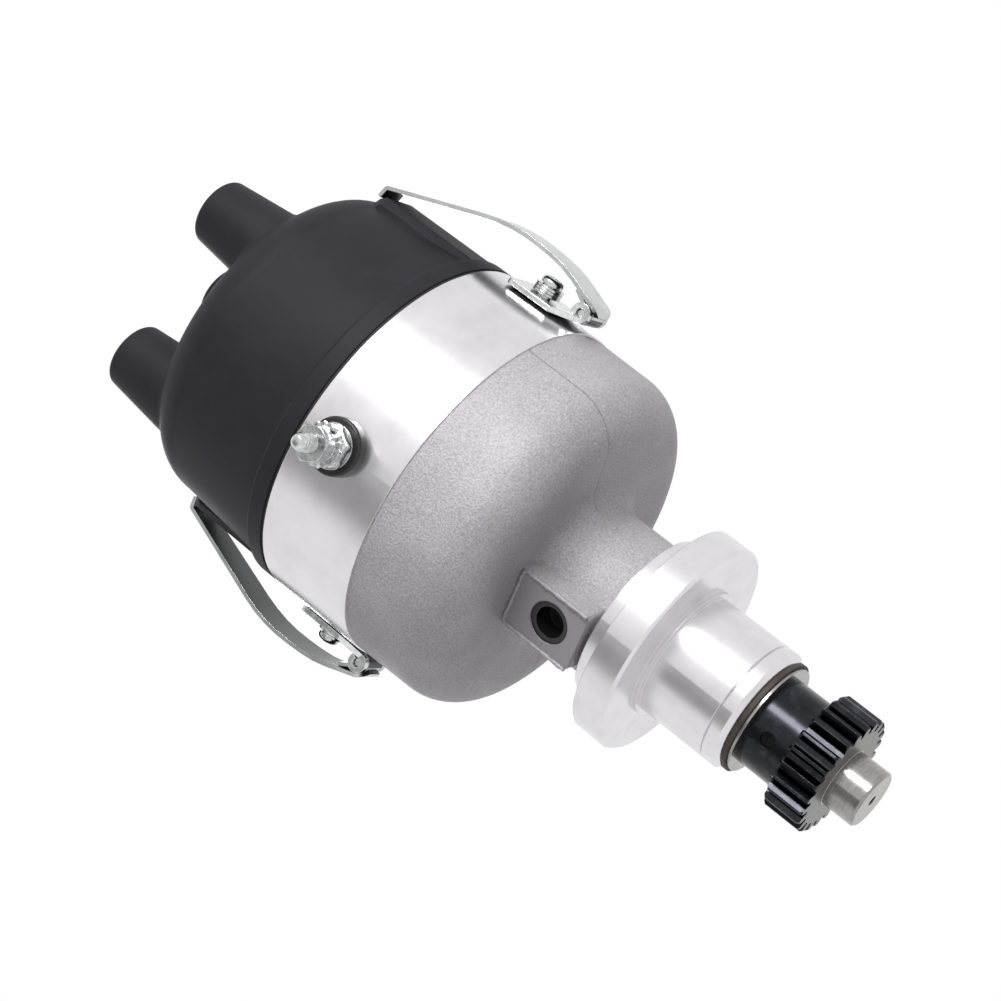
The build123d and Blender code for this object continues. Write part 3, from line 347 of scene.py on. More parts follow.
def gearMaterial(look):
    s = Shader("blackOxideSteel")
    place = s.place()
    x, y, z = s.split(place)
    radius = (x * x + y * y).root()
    teeth = s.rise(radius, look["rootRadius"], look["rootRadius"] + look["rootBlend"])
    front = (z < look["front"]) * (1 - teeth * look["blackTeeth"])
    smear = s.noise(place, look["smear"], 4.0, 0.65)
    rings = s.turnedNoise(x, y, z, radius, look["grindLines"], 2.0)
    black = s.blend(s.rise(smear, *look["smearSteps"]), look["black"], look["worn"])
    ground = s.blend(rings, look["groundDark"], look["ground"])
    colour = s.blend(front, black, ground)
    rough = look["rough"] + smear * look["smearRough"] + front * look["frontRough"]
    normal = s.bump(smear + rings * front, look["depth"], s.softEdge(look["edge"]))
    sockets = {"Base Color": colour, "Metallic": 1.0, "Roughness": rough, "Normal": normal}
    return s.finish(sockets)


shaftFinish = {
    "dull": grey(0.26, (1.0, 0.955, 0.94)),
    "bright": grey(0.38, (1.0, 0.965, 0.95)),
    "centreHolePaintedShade": grey(0.02),
    "centreRadius": 1.15 * mm,
    "endFace": -48.4 * mm,
    "centreDepth": 1.5 * mm,
    "grindLines": 3200.0,     # per metre
    "lineDepth": 0.006 * mm,
    "stains": 260.0,          # per metre
    "shadeSteps": (0.34, 0.62),
    "rough": 0.18,
    "stainRough": 0.10,
    "edge": 0.25 * mm,
}


def shaftMaterial(look):
    s = Shader("groundSteel")
    place = s.place()
    x, y, z = s.split(place)
    radius = (x * x + y * y).root()
    lines = s.turnedNoise(x, y, z, radius, look["grindLines"], 2.0, 3.0)
    stains = s.noise(place, look["stains"], 5.0, 0.7)
    shade = s.rise(lines * 0.5 + stains * 0.5, *look["shadeSteps"])
    colour = s.blend(shade, look["dull"], look["bright"])
    # the centre hole is painted dark: painted shade inside the recess
    paintedHoleShade = (radius < look["centreRadius"]) * (z < look["endFace"] + look["centreDepth"])
    colour = s.blend(paintedHoleShade, colour, look["centreHolePaintedShade"])
    rough = look["rough"] + stains * look["stainRough"]
    normal = s.bump(lines, look["lineDepth"], s.softEdge(look["edge"]))
    sockets = {"Base Color": colour, "Metallic": 1.0, "Roughness": rough, "Normal": normal}
    return s.finish(sockets)


springFinish = {
    "dull": grey(0.50, (0.97, 1.0, 1.0)),
    "bright": grey(0.61, (0.98, 1.0, 1.0)),
    "inside": grey(0.055, (0.97, 1.0, 1.05)),    # towards the cap: painted shade and painted reflection, as dark as the shaded parts it faces
    "narrowEdge": 0.7,        # a normal this far along X belongs to the strip's narrow edge
    "patches": 180.0,         # per metre
    "patchSteps": (0.35, 0.66),
    "rough": 0.26,
    "patchRough": 0.06,
    "unevenness": 0.004 * mm,
}


def springMaterial(look):
    s = Shader("springSteel")
    place = s.place()
    y = s.split(place)[1]
    facingX, facingY = s.split(s.node("ShaderNodeTexCoord", output="Normal"))[:2]
    inwardShaded = y * facingY < 0.0
    patches = s.noise(place, look["patches"], 4.0, 0.6)
    outside = s.blend(s.rise(patches, *look["patchSteps"]), look["dull"], look["bright"])
    # painted shade and reflection on the inner face, all but its narrow edges
    colour = s.blend(inwardShaded * (abs(facingX) < look["narrowEdge"]), outside, look["inside"])
    rough = look["rough"] + (patches - 0.5) * look["patchRough"]
    normal = s.bump(patches, look["unevenness"])
    sockets = {"Base Color": colour, "Metallic": 1.0, "Roughness": rough, "Normal": normal}
    return s.finish(sockets)


def paint(red, green, blue):
    return (red, green, blue, 1.0)


coolTint = (0.98, 1.0, 1.0)
fibreDark, fibreLight = paint(0.026, 0.019, 0.015), paint(0.060, 0.044, 0.034)
rotorDark, rotorLight = paint(0.030, 0.020, 0.016), paint(0.055, 0.036, 0.028)
plainFinishes = {
    # two shades, metal, roughness, grain per metre and its depth in metres
    "pressed_steel": (grey(0.46), grey(0.62, (1.0, 0.995, 0.97)), 1.0, 0.30, 900.0, 0.010 * mm),
    "plated_screws": (grey(0.38, coolTint), grey(0.72, coolTint), 1.0, 0.18, 1600.0, 0.012 * mm),
    "zinc_plate": (grey(0.42, coolTint), grey(0.80, coolTint), 1.0, 0.18, 900.0, 0.012 * mm),
    "contact_metal": (grey(0.55), grey(0.75), 1.0, 0.3, 2500.0, 0.010 * mm),
    "brass_strip": (paint(0.56, 0.38, 0.16), paint(0.72, 0.52, 0.24), 1.0, 0.28, 900.0, 0.010 * mm),
    "bronze": (paint(0.36, 0.22, 0.10), paint(0.52, 0.34, 0.17), 1.0, 0.42, 3000.0, 0.020 * mm),
    "brown_fibre": (fibreDark, fibreLight, 0.0, 0.6, 1800.0, 0.030 * mm),
    "black_moulding": (grey(0.006), grey(0.012), 0.0, 0.32, 1400.0, 0.010 * mm),
    "black_rubber": (grey(0.008), grey(0.014), 0.0, 0.62, 1500.0, 0.020 * mm),
    "blackened_pin": (grey(0.012), grey(0.03), 1.0, 0.3, 1600.0, 0.010 * mm),
    "rotor_moulding": (rotorDark, rotorLight, 0.0, 0.25, 700.0, 0.015 * mm),
    "carbon": (grey(0.010), grey(0.030), 0.0, 0.5, 3500.0, 0.020 * mm),
    "felt": (paint(0.26, 0.22, 0.16), paint(0.44, 0.39, 0.31), 0.0, 0.95, 5000.0, 0.120 * mm),
}
plainTexture = {
    "patches": 180.0,         # per metre
    "patchShare": 0.6,
    "patchRough": 0.16,
    "shadeSteps": (0.35, 0.66),
    "edge": 0.2 * mm,
}


def plainMaterial(name, finish, look):
    darkShade, lightShade, metal, rough, grain, depth = finish
    s = Shader(name)
    place = s.place()
    fine = s.noise(place, grain, 3.0, 0.6)
    patches = s.noise(place, look["patches"], 4.0, 0.6)
    mottled = patches * look["patchShare"] + fine * (1 - look["patchShare"])
    colour = s.blend(s.rise(mottled, *look["shadeSteps"]), darkShade, lightShade)
    rough = rough + (patches - 0.5) * look["patchRough"]
    normal = s.bump(fine, depth, s.softEdge(look["edge"]))
    sockets = {"Base Color": colour, "Metallic": metal, "Roughness": rough, "Normal": normal}
    return s.finish(sockets)


materials = {}
for name, finish in plainFinishes.items():
    materials[name] = plainMaterial(name, finish, plainTexture)
materials["cast_aluminium"] = housingMaterial(housingFinish)
materials["cap_moulding"] = capMaterial(capFinish)
materials["black_steel"] = gearMaterial(gearFinish)
materials["ground_steel"] = shaftMaterial(shaftFinish)
materials["spring_steel"] = springMaterial(springFinish)

slotOf = {part["node"]: part["material_slot"] for part in frame["record"]["subparts"]}
bodies = frame["record"]["behaviour"]["bodies"]
bodyOf = {node: body for body, nodes in bodies.items() for node in nodes}

for node, slotName in slotOf.items():
    data = frame["nodes"][node].data
    data.materials.clear()
    data.materials.append(materials["blackened_pin" if node == "gear_pin" else slotName])
print("materials assigned")


def loft(shape, sections, turn, hollow=False):
    # joins outlines of equal length, given as lists of points, into one closed skin;
    # a hollow one joins its last outline to its first, the others end in flat faces
    rings = [[shape.verts.new(turn @ Vector(point)) for point in section] for section in sections]
    pairs = list(zip(rings, rings[1:]))
    if hollow:
        pairs.append((rings[-1], rings[0]))
    count = len(rings[0])
    for near, far in pairs:
        for step in range(count):
            after = (step + 1) % count
            shape.faces.new((near[step], near[after], far[after], far[step]))
    if not hollow:
        shape.faces.new(rings[0])
        shape.faces.new(rings[-1])


def lathe(shape, profile, turn, around=48, hollow=False):
    # turns (distance along +X, radius) pairs round the X axis; turn puts the result in place
    angles = [2 * math.pi * step / around for step in range(around)]
    sections = []
    for along, radius in profile:
        sections.append([(along, radius * math.cos(a), radius * math.sin(a)) for a in angles])
    loft(shape, sections, turn, hollow)


def ribbon(shape, path, thickness, halfWidth, turn, centre=0.0):
    # sheet bent along path, a list of (y, z); halfWidth tells half its width at a length along it
    sections = []
    length = 0.0
    for index, point in enumerate(path):
        before = path[max(index - 1, 0)]
        after = path[min(index + 1, len(path) - 1)]
        direction = Vector((after[0] - before[0], after[1] - before[1])).normalized()
        side = Vector((direction.y, -direction.x)) * thickness / 2
        if index:
            length += (Vector(point) - Vector(before)).length
        half = halfWidth(length)
        outer = Vector(point) + side
        inner = Vector(point) - side
        corners = [(-half, outer), (half, outer), (half, inner), (-half, inner)]
        sections.append([(centre + x, at.x, at.y) for x, at in corners])
    loft(shape, sections, turn)


def arcPoints(centre, radius, start, end, step=8.0):
    # points on an arc in the plane of Y and Z, angles in degrees from +Y
    count = max(2, int(abs(end - start) / step))
    angles = [math.radians(start + (end - start) * k / count) for k in range(count + 1)]
    return [(centre[0] + radius * math.cos(a), centre[1] + radius * math.sin(a)) for a in angles]


def rounded(points, radii, step=5.0):
    # straight runs between points, with an arc of the given radius at each inner corner
    path = [points[0]]
    for index, radius in enumerate(radii):
        corner = Vector(points[index + 1])
        back = (Vector(points[index]) - corner).normalized()
        on = (Vector(points[index + 2]) - corner).normalized()
        bend = math.pi - back.angle(on)
        if bend < 0.01:
            # nearly straight, so no arc fits
            path.append(tuple(corner))
            continue
        reach = radius * math.tan(bend / 2)
        centre = corner + (back + on).normalized() * radius / math.cos(bend / 2)
        first = corner + back * reach - centre
        sweep = first.angle_signed(corner + on * reach - centre)
        count = max(2, int(math.degrees(bend) / step))
        for k in range(count + 1):
            spoke = Matrix.Rotation(-sweep * k / count, 2) @ first
            path.append(tuple(centre + spoke))
    path.append(points[-1])
    return path


sharpAngle = math.radians(32)    # edges that turn by more stay sharp


def meshFrom(name, shape):
    bmesh.ops.recalc_face_normals(shape, faces=shape.faces)
    mesh = bpy.data.meshes.new(name)
    shape.to_mesh(mesh)
    shape.free()
    mesh.shade_smooth()
    mesh.set_sharp_from_angle(angle=sharpAngle)
    return mesh


def standIn(name, shape, node, edge=0.0):
    # a piece made here for a CAD node: it takes the node's body, slot and finish
    piece = bpy.data.objects.new(name, meshFrom(name, shape))
    scene.collection.objects.link(piece)
    piece.data.materials.append(materials[slotOf[node]])
    if edge:
        softened = piece.modifiers.new("brokenEdges", "BEVEL")
        softened.width = edge
        softened.segments = 2
        softened.limit_method = "ANGLE"
    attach(piece, bodyOf[node])
    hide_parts(node)
    return piece


castingFlash = {
    "turn": bossTurn,
    "face": 20.0 * mm,
    "half": 6.7 * mm,            # from the boss's middle to the bead
    "low": 13.0 * mm,
    "high": 29.55 * mm,
    "corner": 1.1 * mm,
    "bead": 0.44 * mm,
    "waves": ((1900.0, 0.16), (4300.0, 0.10)),    # rate per metre, and share of the bead
    "sides": 12,
    "step": 0.4 * mm,
}


def bossFlash(look):
    # a bead of metal that the mould squeezed out along three edges of the boss's face
    half, low, high = look["half"], look["low"], look["high"]
    path = rounded([(half, low), (half, high), (-half, high), (-half, low)], [look["corner"]] * 2)
    fine = [path[0]]
    for start, end in zip(path, path[1:]):
        pieces = max(1, int(math.dist(start, end) / look["step"]))
        for k in range(1, pieces + 1):
            fine.append(tuple(Vector(start).lerp(Vector(end), k / pieces)))
    sections = []
    length = 0.0
    for index, point in enumerate(fine):
        before = Vector(fine[max(index - 1, 0)])
        after = Vector(fine[min(index + 1, len(fine) - 1)])
        along = (after - before).normalized()
        length += (Vector(point) - before).length
        swell = sum(share * math.sin(rate * length) for rate, share in look["waves"])
        radius = look["bead"] * (1.0 + swell)
        section = []
        for step in range(look["sides"]):
            angle = 2 * math.pi * step / look["sides"]
            aside = radius * math.cos(angle)
            lift = look["face"] + radius * math.sin(angle)
            section.append((lift, point[0] + along.y * aside, point[1] - along.x * aside))
        sections.append(section)
    shape = bmesh.new()
    loft(shape, sections, Matrix.Rotation(look["turn"], 4, "Z"))
    bead = bpy.data.objects.new("bossFlash", meshFrom("bossFlash", shape))
    scene.collection.objects.link(bead)
    bead.data.materials.append(materials["cast_aluminium"])
    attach(bead, bodyOf["housing"])


bossFlash(castingFlash)
print("casting flash made")


def coil(shape, outer, inner, start, end, turns, wireShare, turn):
    # square wire wound round +X from start to end; wireShare is the wire's part of the pitch
    around = 48
    count = int(around * turns)
    wire = (end - start) / max(1.0, turns) * wireShare
    sections = []
    for step in range(count + 1):
        angle = 2 * math.pi * step / around
        x = start + (end - start - wire) * step / count
        across = math.cos(angle)
        up = math.sin(angle)
        corners = [(x, outer), (x + wire, outer), (x + wire, inner), (x, inner)]
        sections.append([(at, radius * across, radius * up) for at, radius in corners])
    loft(shape, sections, turn)


terminal = {
    # what the stud, its nuts and its washers share
    "axisHeight": 68.5 * mm,
    "crest": 2.16 * mm,          # radius of the thread's crest
    "endGap": 0.02 * mm,
}


def onTerminal():
    return Matrix.Translation((0.0, 0.0, terminal["axisHeight"]))


studSizes = {
    "pitch": 0.8 * mm,
    "threadDepth": 0.36 * mm,
    "ridgeSlope": 1.25,          # above 1 the crest is flat
    "endCrest": 1.97 * mm,       # beyond the outer nut
    "tipLength": 2.6 * mm,
    "tipRadius": 0.7 * mm,
    "headThick": 2.4 * mm,
    "around": 40,
    "perPitch": 8,               # outlines along each pitch
}


def threadedStud(look):
    # the thread's ridge climbs one pitch with each turn; the free end is a rounded point
    low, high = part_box("terminal_stud")
    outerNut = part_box("terminal_nuts")[1].x
    headEnd = low.x + look["headThick"]
    pitch, around = look["pitch"], look["around"]
    rows = int((high.x - headEnd) / pitch * look["perPitch"])
    sections = []
    for row in range(rows + 1):
        x = headEnd + (high.x - headEnd) * row / rows
        crest = terminal["crest"] if x < outerNut else look["endCrest"]
        toTip = min(1.0, max(0.0, (high.x - terminal["endGap"] - x) / look["tipLength"]))
        limit = look["tipRadius"] + (crest - look["tipRadius"]) * math.sqrt(1 - (1 - toTip) ** 2)
        section = []
        for step in range(around):
            phase = (x / pitch + step / around) % 1.0
            ridge = min(1.0, look["ridgeSlope"] * (1.0 - abs(2.0 * phase - 1.0)))
            radius = min(limit, crest - look["threadDepth"] * (1.0 - ridge))
            angle = 2 * math.pi * step / around
            section.append((x, radius * math.cos(angle), radius * math.sin(angle)))
        sections.append(section)
    shape = bmesh.new()
    loft(shape, sections, onTerminal())
    # the head on the inner side is a hexagon
    corner = (high.y - low.y) / 2
    lathe(shape, [(low.x, corner), (headEnd, corner)], onTerminal(), around=6)
    standIn("threadedStud", shape, "terminal_stud")


nutSizes = {
    "lowFlats": 8.6 * mm,
    "highFlats": 7.2 * mm,
    "thick": 3.2 * mm,
    "chamfer": 0.5 * mm,         # how far the corners are turned in at each end
    "chamferSlope": 0.58,        # its length along the axis, as a share of that
    "cornerShare": 0.565,        # radius over the corners, as a share of the flats
    "around": 48,
    "edge": 0.08 * mm,
}


def hexNut(shape, look, start, end, flats):
    chamfer, around = look["chamfer"], look["around"]
    slope = chamfer * look["chamferSlope"]
    sections = []
    for x, trim in ((start, chamfer), (start + slope, 0.0), (end - slope, 0.0), (end, chamfer)):
        section = []
        for step in range(around):
            angle = 2 * math.pi * step / around
            inSide = (angle % (math.pi / 3)) - math.pi / 6
            radius = min(flats / 2 / math.cos(inSide), flats * look["cornerShare"] - trim)
            section.append((x, radius * math.cos(angle), radius * math.sin(angle)))
        sections.append(section)
    loft(shape, sections, onTerminal())


def terminalNuts(look):
    low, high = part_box("terminal_nuts")
    shape = bmesh.new()
    hexNut(shape, look, low.x, low.x + look["thick"], look["lowFlats"])
    hexNut(shape, look, high.x - look["thick"], high.x, look["highFlats"])
    standIn("terminalNuts", shape, "terminal_nuts", look["edge"])


washerSizes = {
    "radius": 4.7 * mm,
    "thick": 0.9 * mm,
    "teeth": 18,                 # of the shakeproof washer
    "toothedShare": 0.93,        # its rim inside the teeth
    "toothReach": 0.35 * mm,
    "toothTwist": 0.12 * mm,
    "springRadius": 3.7 * mm,
    "springGap": 0.1 * mm,
    "springShare": 0.98,         # of a washer's thickness, to stay clear of the next one
    "springTurns": 0.94,
    "springWire": 0.94,
    "edge": 0.06 * mm,
}


def terminalWashers(look):
    # a flat washer, a shakeproof one with twisted teeth and a split spring washer
    low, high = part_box("terminal_washers")
    thick, outer, bore = look["thick"], look["radius"], terminal["crest"]
    shape = bmesh.new()
    flat = [(low.x, bore), (low.x, outer), (low.x + thick, outer), (low.x + thick, bore)]
    lathe(shape, flat, onTerminal(), hollow=True)

    start = high.x - 2 * thick
    end = start + thick
    around = look["teeth"] * 4
    rim = outer * look["toothedShare"]
    stations = [(start, bore, 0), (start, rim, 1), (end, rim, 1), (end, bore, 0)]
    sections = []
    for x, radius, twist in stations:
        section = []
        for step in range(around):
            angle = 2 * math.pi * step / around
            wave = math.sin(2 * math.pi * step / 4)
            reach = radius + look["toothReach"] * (wave > 0.5) * twist
            at = x + look["toothTwist"] * wave * twist
            section.append((at, reach * math.cos(angle), reach * math.sin(angle)))
        sections.append(section)
    loft(shape, sections, onTerminal(), hollow=True)

    inner = bore + look["springGap"]
    start = high.x - thick * look["springShare"]
    end = high.x - terminal["endGap"]
    turns, wire = look["springTurns"], look["springWire"]
    coil(shape, look["springRadius"], inner, start, end, turns, wire, onTerminal())
    standIn("terminalWashers", shape, "terminal_washers", look["edge"])


threadedStud(studSizes)
terminalNuts(nutSizes)
terminalWashers(washerSizes)
print("terminal made")


clipHinge = {
    # what the strap, bracket, pin and screw of a clip share
    "pinPlace": (44.0 * mm, 56.5 * mm),    # y and z
    "eyeRadius": 2.2 * mm,
    "tongueHalf": 2.9 * mm,
    "knuckleHalf": 4.7 * mm,
    "plateThick": 1.2 * mm,
}


def sideTurn(side):
    # +Y for the left clip, and half a turn round Z for the right one
    return Matrix.Rotation(0.0 if side == "left" else math.pi, 4, "Z")


strapSizes = {
    "thick": 0.9 * mm,
    "halfWidth": 4.5 * mm,
    "tipHalfWidth": 3.8 * mm,
    "tail": (-74.0, -20.0),              # from and to, in degrees round the pin
    "tailRadius": 2.72 * mm,
    "tailRounding": 3.2 * mm,
    "tailNarrowing": (2.4 * mm, 2.5),    # off half the width, and how late it sets in
    "bowLow": (9.2 * mm, 11.1 * mm),     # out from the ring's face, up from its lower edge
    "bowHigh": (10.2 * mm, 25.6 * mm),
    "hookBend": (41.3 * mm, 0.25 * mm),    # y, and down from the clip's top
    "hookReach": (2.4 * mm, 0.5 * mm),     # in and up from that bend
    "bends": [26 * mm, 38 * mm, 0.9 * mm],
    "neck": (3.4 * mm, 4.2 * mm),        # where the tongue starts, out and up from the pin
    "tongueRoll": (30.0, 330.0, 12.0),    # from, to and step, in degrees round the pin
    "edge": 0.06 * mm,
}


def clipStrap(look, side):
    # the bowed strap with its hook and tail, and the tongue that is rolled round the pin
    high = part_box("clip_left")[1]
    pinPlace = clipHinge["pinPlace"]
    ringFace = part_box("housing")[1].y
    tail = arcPoints(pinPlace, look["tailRadius"], *look["tail"])
    hookY, hookZ = look["hookBend"][0], high.z - look["hookBend"][1]
    corners = [
        tail[-1],
        (ringFace + look["bowLow"][0], ringLow + look["bowLow"][1]),
        (ringFace + look["bowHigh"][0], ringLow + look["bowHigh"][1]),
        (hookY, hookZ),
        (hookY - look["hookReach"][0], hookZ + look["hookReach"][1]),
    ]
    path = tail[:-1] + rounded(corners, look["bends"])
    total = sum(math.dist(a, b) for a, b in zip(path, path[1:]))
    off, power = look["tailNarrowing"]

    def halfWidth(length):
        # the tail is round, and the strap narrows over its upper half
        if length < look["tailRounding"]:
            share = 1 - length / look["tailRounding"]
            return look["halfWidth"] - off * share ** power
        upper = max(0.0, (length / total - 0.5) / 0.5)
        return look["halfWidth"] + (look["tipHalfWidth"] - look["halfWidth"]) * upper

    shape = bmesh.new()
    turn = sideTurn(side)
    thick = look["thick"]
    ribbon(shape, path, thick, halfWidth, turn)
    neck = [(pinPlace[0] + look["neck"][0], pinPlace[1] + look["neck"][1])]
    roll = arcPoints(pinPlace, clipHinge["eyeRadius"] - thick / 2, *look["tongueRoll"])
    ribbon(shape, neck + roll, thick, lambda length: clipHinge["tongueHalf"], turn)
    standIn("clipStrap_" + side, shape, "clip_" + side, look["edge"])


bracketSizes = {
    "half": 7.4 * mm,
    "corner": 1.4 * mm,
    "cornerShares": (0.0, 0.1, 0.25, 0.45, 0.7, 1.0),
    "bendUp": 7.4 * mm,                  # from the ring's lower edge
    "bend": 1.4 * mm,
    "taperRate": 1.6,
    "knuckleRoll": (180.0, 485.0, 10.0),    # from, to and step, in degrees round the pin
    "knuckleGap": 0.3 * mm,              # beside the strap's tongue
    "edge": 0.12 * mm,
}


def clipBracket(look, side):
    # a flat plate with two rounded corners, whose two knuckles hold the pin
    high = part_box("clip_bracket_left")[1]
    pinPlace = clipHinge["pinPlace"]
    thick = clipHinge["plateThick"]
    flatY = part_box("housing")[1].y + thick / 2
    bendZ = ringLow + look["bendUp"]
    rollRadius = clipHinge["eyeRadius"] - thick / 2
    corners = [(flatY, high.z), (flatY, bendZ), (pinPlace[0] - rollRadius, pinPlace[1])]
    path = rounded(corners, [look["bend"]])
    plateLength = high.z - bendZ
    total = sum(math.dist(a, b) for a, b in zip(path, path[1:]))
    corner, plateHalf, knuckleHalf = look["corner"], look["half"], clipHinge["knuckleHalf"]

    def halfWidth(length):
        if length < corner:
            share = 1 - length / corner
            return plateHalf - corner * (1 - math.sqrt(1 - share ** 2))
        taper = max(0.0, (length - plateLength) / (total - plateLength))
        return plateHalf + (knuckleHalf - plateHalf) * min(1.0, look["taperRate"] * taper)

    shape = bmesh.new()
    turn = sideTurn(side)
    startY, startZ = path[0]
    cornerRun = [(startY, startZ - corner * share) for share in look["cornerShares"]]
    ribbon(shape, cornerRun + path[1:], thick, halfWidth, turn)
    roll = arcPoints(pinPlace, rollRadius, *look["knuckleRoll"])
    inner = clipHinge["tongueHalf"] + look["knuckleGap"]
    half = (knuckleHalf - inner) / 2
    for centre in (inner + half, -inner - half):
        ribbon(shape, roll, thick, lambda length: half, turn, centre)
    standIn("clipBracket_" + side, shape, "clip_bracket_" + side, look["edge"])


pinSizes = {
    "radius": 1.0 * mm,
    "slack": 0.05 * mm,
    "inset": 0.7 * mm,           # from the knuckles' outer faces
    "broken": 0.2 * mm,          # its ends' chamfer
    "around": 24,
}


def hingePin(look, side):
    pinY, pinZ = clipHinge["pinPlace"]
    turn = sideTurn(side) @ Matrix.Translation((0.0, pinY, pinZ))
    radius = look["radius"] - look["slack"]
    end = clipHinge["knuckleHalf"] - look["inset"]
    broken = look["broken"]
    tip = radius - broken
    profile = [(-end, tip), (-end + broken, radius), (end - broken, radius), (end, tip)]
    shape = bmesh.new()
    lathe(shape, profile, turn, look["around"])
    standIn("hingePin_" + side, shape, "hinge_pin_" + side)


screwSizes = {
    # lengths along the screw are told by y
    "height": 67.3 * mm,
    "washerRadius": 3.2 * mm,
    "washerGap": 0.1 * mm,
    "washerTurns": 3.0,
    "wireShare": 0.70,
    "washerEdge": 0.08 * mm,
    "under": 44.5 * mm,          # the head's lower face
    "headTop": 46.0 * mm,
    "headRadius": 2.5 * mm,
    "headRim": 0.45 * mm,
    "headFlat": 0.62,            # the domed head's flat middle, as a share
    "domeSteps": 5,
    "shankRadius": 1.9 * mm,
    "shankEnd": 36.5 * mm,
    "shankEdge": 0.3 * mm,
    "slotWidth": 0.8 * mm,
    "slotDepth": 0.8 * mm,
    "around": 40,
}


def alongScrew(look, side):
    # turns +X outwards, along the screw's axis
    quarter = Matrix.Rotation(math.pi / 2, 4, "Z")
    return sideTurn(side) @ Matrix.Translation((0.0, 0.0, look["height"])) @ quarter


def springWasher(look, side):
    # square wire in three turns under the screw's head
    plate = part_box("housing")[1].y + clipHinge["plateThick"]
    inner = look["shankRadius"] + look["washerGap"]
    turns, wire = look["washerTurns"], look["wireShare"]
    shape = bmesh.new()
    turn = alongScrew(look, side)
    coil(shape, look["washerRadius"], inner, plate, look["under"], turns, wire, turn)
    standIn("springWasher_" + side, shape, "lock_washer_" + side, look["washerEdge"])


def clipScrew(look, side):
    # a slotted pan head on a plain shank
    turn = alongScrew(look, side)
    top, under, radius = look["headTop"], look["under"], look["headRadius"]
    shank, end, edge = look["shankRadius"], look["shankEnd"], look["shankEdge"]
    dome = under + look["headRim"]
    profile = [(end, shank - edge), (end + edge, shank), (under, shank)]
    profile += [(under, radius), (dome, radius)]
    for k in range(1, look["domeSteps"] + 1):
        angle = math.radians(90 * k / look["domeSteps"])
        flat = look["headFlat"] + (1 - look["headFlat"]) * math.cos(angle)
        profile.append((dome + (top - dome) * math.sin(angle), radius * flat))
    shape = bmesh.new()
    lathe(shape, profile, turn, look["around"])
    screw = standIn("clipScrew_" + side, shape, "clip_screw_" + side)

    half, depth = look["slotWidth"] / 2, look["slotDepth"]
    reach = 2 * radius
    outline = [(-half, -reach), (half, -reach), (half, reach), (-half, reach)]
    cutter = bmesh.new()
    loft(cutter, [[(x, a, b) for a, b in outline] for x in (top - depth, top + depth)], turn)
    cutSlot(screw, cutter)


def cutSlot(piece, cutter):
    # the cut is applied to the mesh, and the tool is thrown away
    tool = bpy.data.objects.new("slotTool", meshFrom("slotTool", cutter))
    scene.collection.objects.link(tool)
    cut = piece.modifiers.new("slot", "BOOLEAN")
    cut.operation = "DIFFERENCE"
    cut.solver = "EXACT"
    cut.object = tool
    bpy.context.view_layer.update()
    graph = bpy.context.evaluated_depsgraph_get()
    mesh = bpy.data.meshes.new_from_object(piece.evaluated_get(graph))
    piece.modifiers.clear()
    piece.data = mesh
    mesh.set_sharp_from_angle(angle=sharpAngle)
    bpy.data.objects.remove(tool)


for side in ("left", "right"):
    clipStrap(strapSizes, side)
    clipBracket(bracketSizes, side)
    hingePin(pinSizes, side)
    springWasher(screwSizes, side)
    clipScrew(screwSizes, side)
print("clips made")


lampSetup = {
    # azimuth and elevation as seen from the distributor, distance, width, height and power
    "keyPanel": (41.0, 18.0, 0.75, 0.20, 0.42, 4.6),
    "backPanel": (205.0, 35.0, 0.80, 0.40, 0.40, 2.0),
}
lampTarget = Vector((0.0, 0.0, 0.02))


def addLamps(setup):
    for name, (azimuth, elevation, distance, width, height, power) in setup.items():
        turn, climb = math.radians(azimuth), math.radians(elevation)
        level = math.cos(climb)
        away = Vector((math.cos(turn) * level, math.sin(turn) * level, math.sin(climb)))
        data = bpy.data.lights.new(name, "AREA")
        data.shape = "RECTANGLE"
        data.size = width
        data.size_y = height
        data.energy = power
        lamp = bpy.data.objects.new(name, data)
        lamp.matrix_world = facing(lampTarget + away * distance, -away, (0.0, 0.0, 1.0))
        scene.collection.objects.link(lamp)


studio = {
    "fill": 0.32,             # how strongly the world lights matt surfaces
    "white": 1.0,             # what the camera and shiny metal see
    "darkCard": 0.34,         # a dark card stands beside the object
    "cardTurn": -31.5,        # degrees, as are its half width and its soft edge
    "cardHalf": 17.0,
    "cardSoft": 9.0,
    "cardBottom": (-0.05, 0.10),    # it fades in and out over these heights on the sky
    "cardTop": (0.62, 0.80),
}


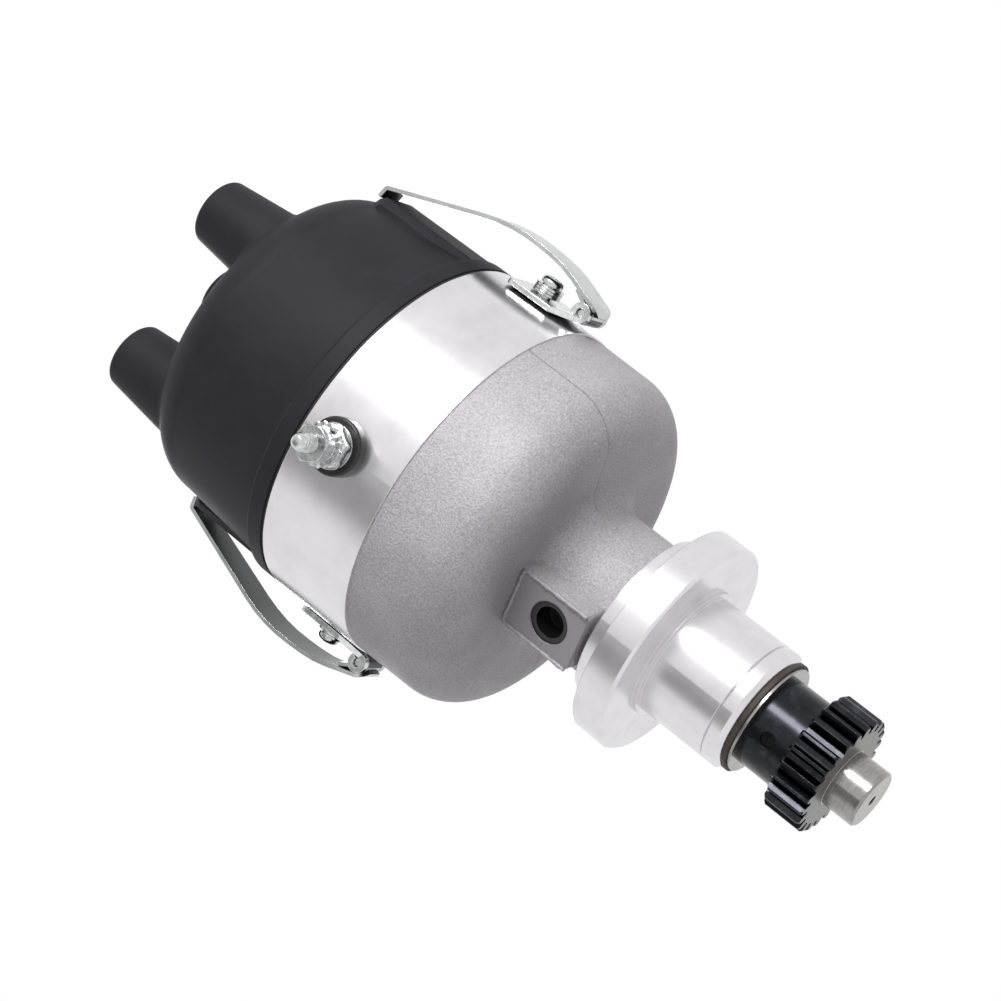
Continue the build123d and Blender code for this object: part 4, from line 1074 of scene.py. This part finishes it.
def addWorld(look):
    world = bpy.data.worlds.new("studio")
    scene.world = world
    world.use_nodes = True
    s = Shader("studio", world.node_tree)
    rays = ("Is Camera Ray", "Is Glossy Ray", "Is Transmission Ray")
    camera, glossy, clear = s.outputs("ShaderNodeLightPath", rays)
    x, y, z = s.split(s.node("ShaderNodeTexCoord", output="Generated"))
    turn = math.radians(look["cardTurn"])
    ahead = x * math.cos(turn) + y * math.sin(turn)
    aside = y * math.cos(turn) - x * math.sin(turn)
    off = abs(aside.turnFrom(ahead)) * math.degrees(1.0)
    half, soft = look["cardHalf"], look["cardSoft"]
    card = 1 - s.rise(off, half - soft, half + soft)
    card = card * s.rise(z, *look["cardBottom"]) * (1 - s.rise(z, *look["cardTop"]))
    white = look["white"] * (1 - card * (1 - look["darkCard"]) * (1 - camera))
    seen = (camera + glossy + clear).least(1.0)
    strength = look["fill"] + (white - look["fill"]) * seen
    lit = s.node("ShaderNodeBackground", inputs={"Color": grey(1.0), "Strength": strength})
    s.node("ShaderNodeOutputWorld", inputs={"Surface": lit})


floorLook = {
    "height": -49.0 * mm,
    "half": 3.0,
    "fadeStart": 0.15,        # from here to fadeEnd it gives way to the white background
    "fadeEnd": 0.75,
    "pale": grey(0.88),
    "paler": grey(0.90),
    "cloud": 6.0,             # per metre
}


def addFloor(look):
    half, height = look["half"], look["height"]
    shape = bmesh.new()
    corners = [(-half, -half), (half, -half), (half, half), (-half, half)]
    shape.faces.new([shape.verts.new((x, y, height)) for x, y in corners])
    floor = bpy.data.objects.new("paleFloor", meshFrom("paleFloor", shape))
    scene.collection.objects.link(floor)
    s = Shader("paleFloor")
    camera, = s.outputs("ShaderNodeLightPath", ("Is Camera Ray",))
    behind, = s.outputs("ShaderNodeNewGeometry", ("Backfacing",))
    x, y = s.split(s.place())[:2]
    near = 1 - s.rise((x * x + y * y).root(), look["fadeStart"], look["fadeEnd"])
    clear = s.node("ShaderNodeBsdfTransparent")
    tone = s.noise(s.place(), look["cloud"], 2.0, 0.5)
    colour = s.blend(tone, look["pale"], look["paler"])
    matt = s.node("ShaderNodeBsdfDiffuse", inputs={"Color": colour})
    seen = camera * (1 - behind) * near
    shown = s.node("ShaderNodeMixShader", inputs={0: seen, 1: clear, 2: matt})
    s.node("ShaderNodeOutputMaterial", inputs={"Surface": shown})
    floor.data.materials.append(s.material)


addLamps(lampSetup)
addWorld(studio)
addFloor(floorLook)
scene.view_settings.view_transform = "Standard"
print("light and floor set")
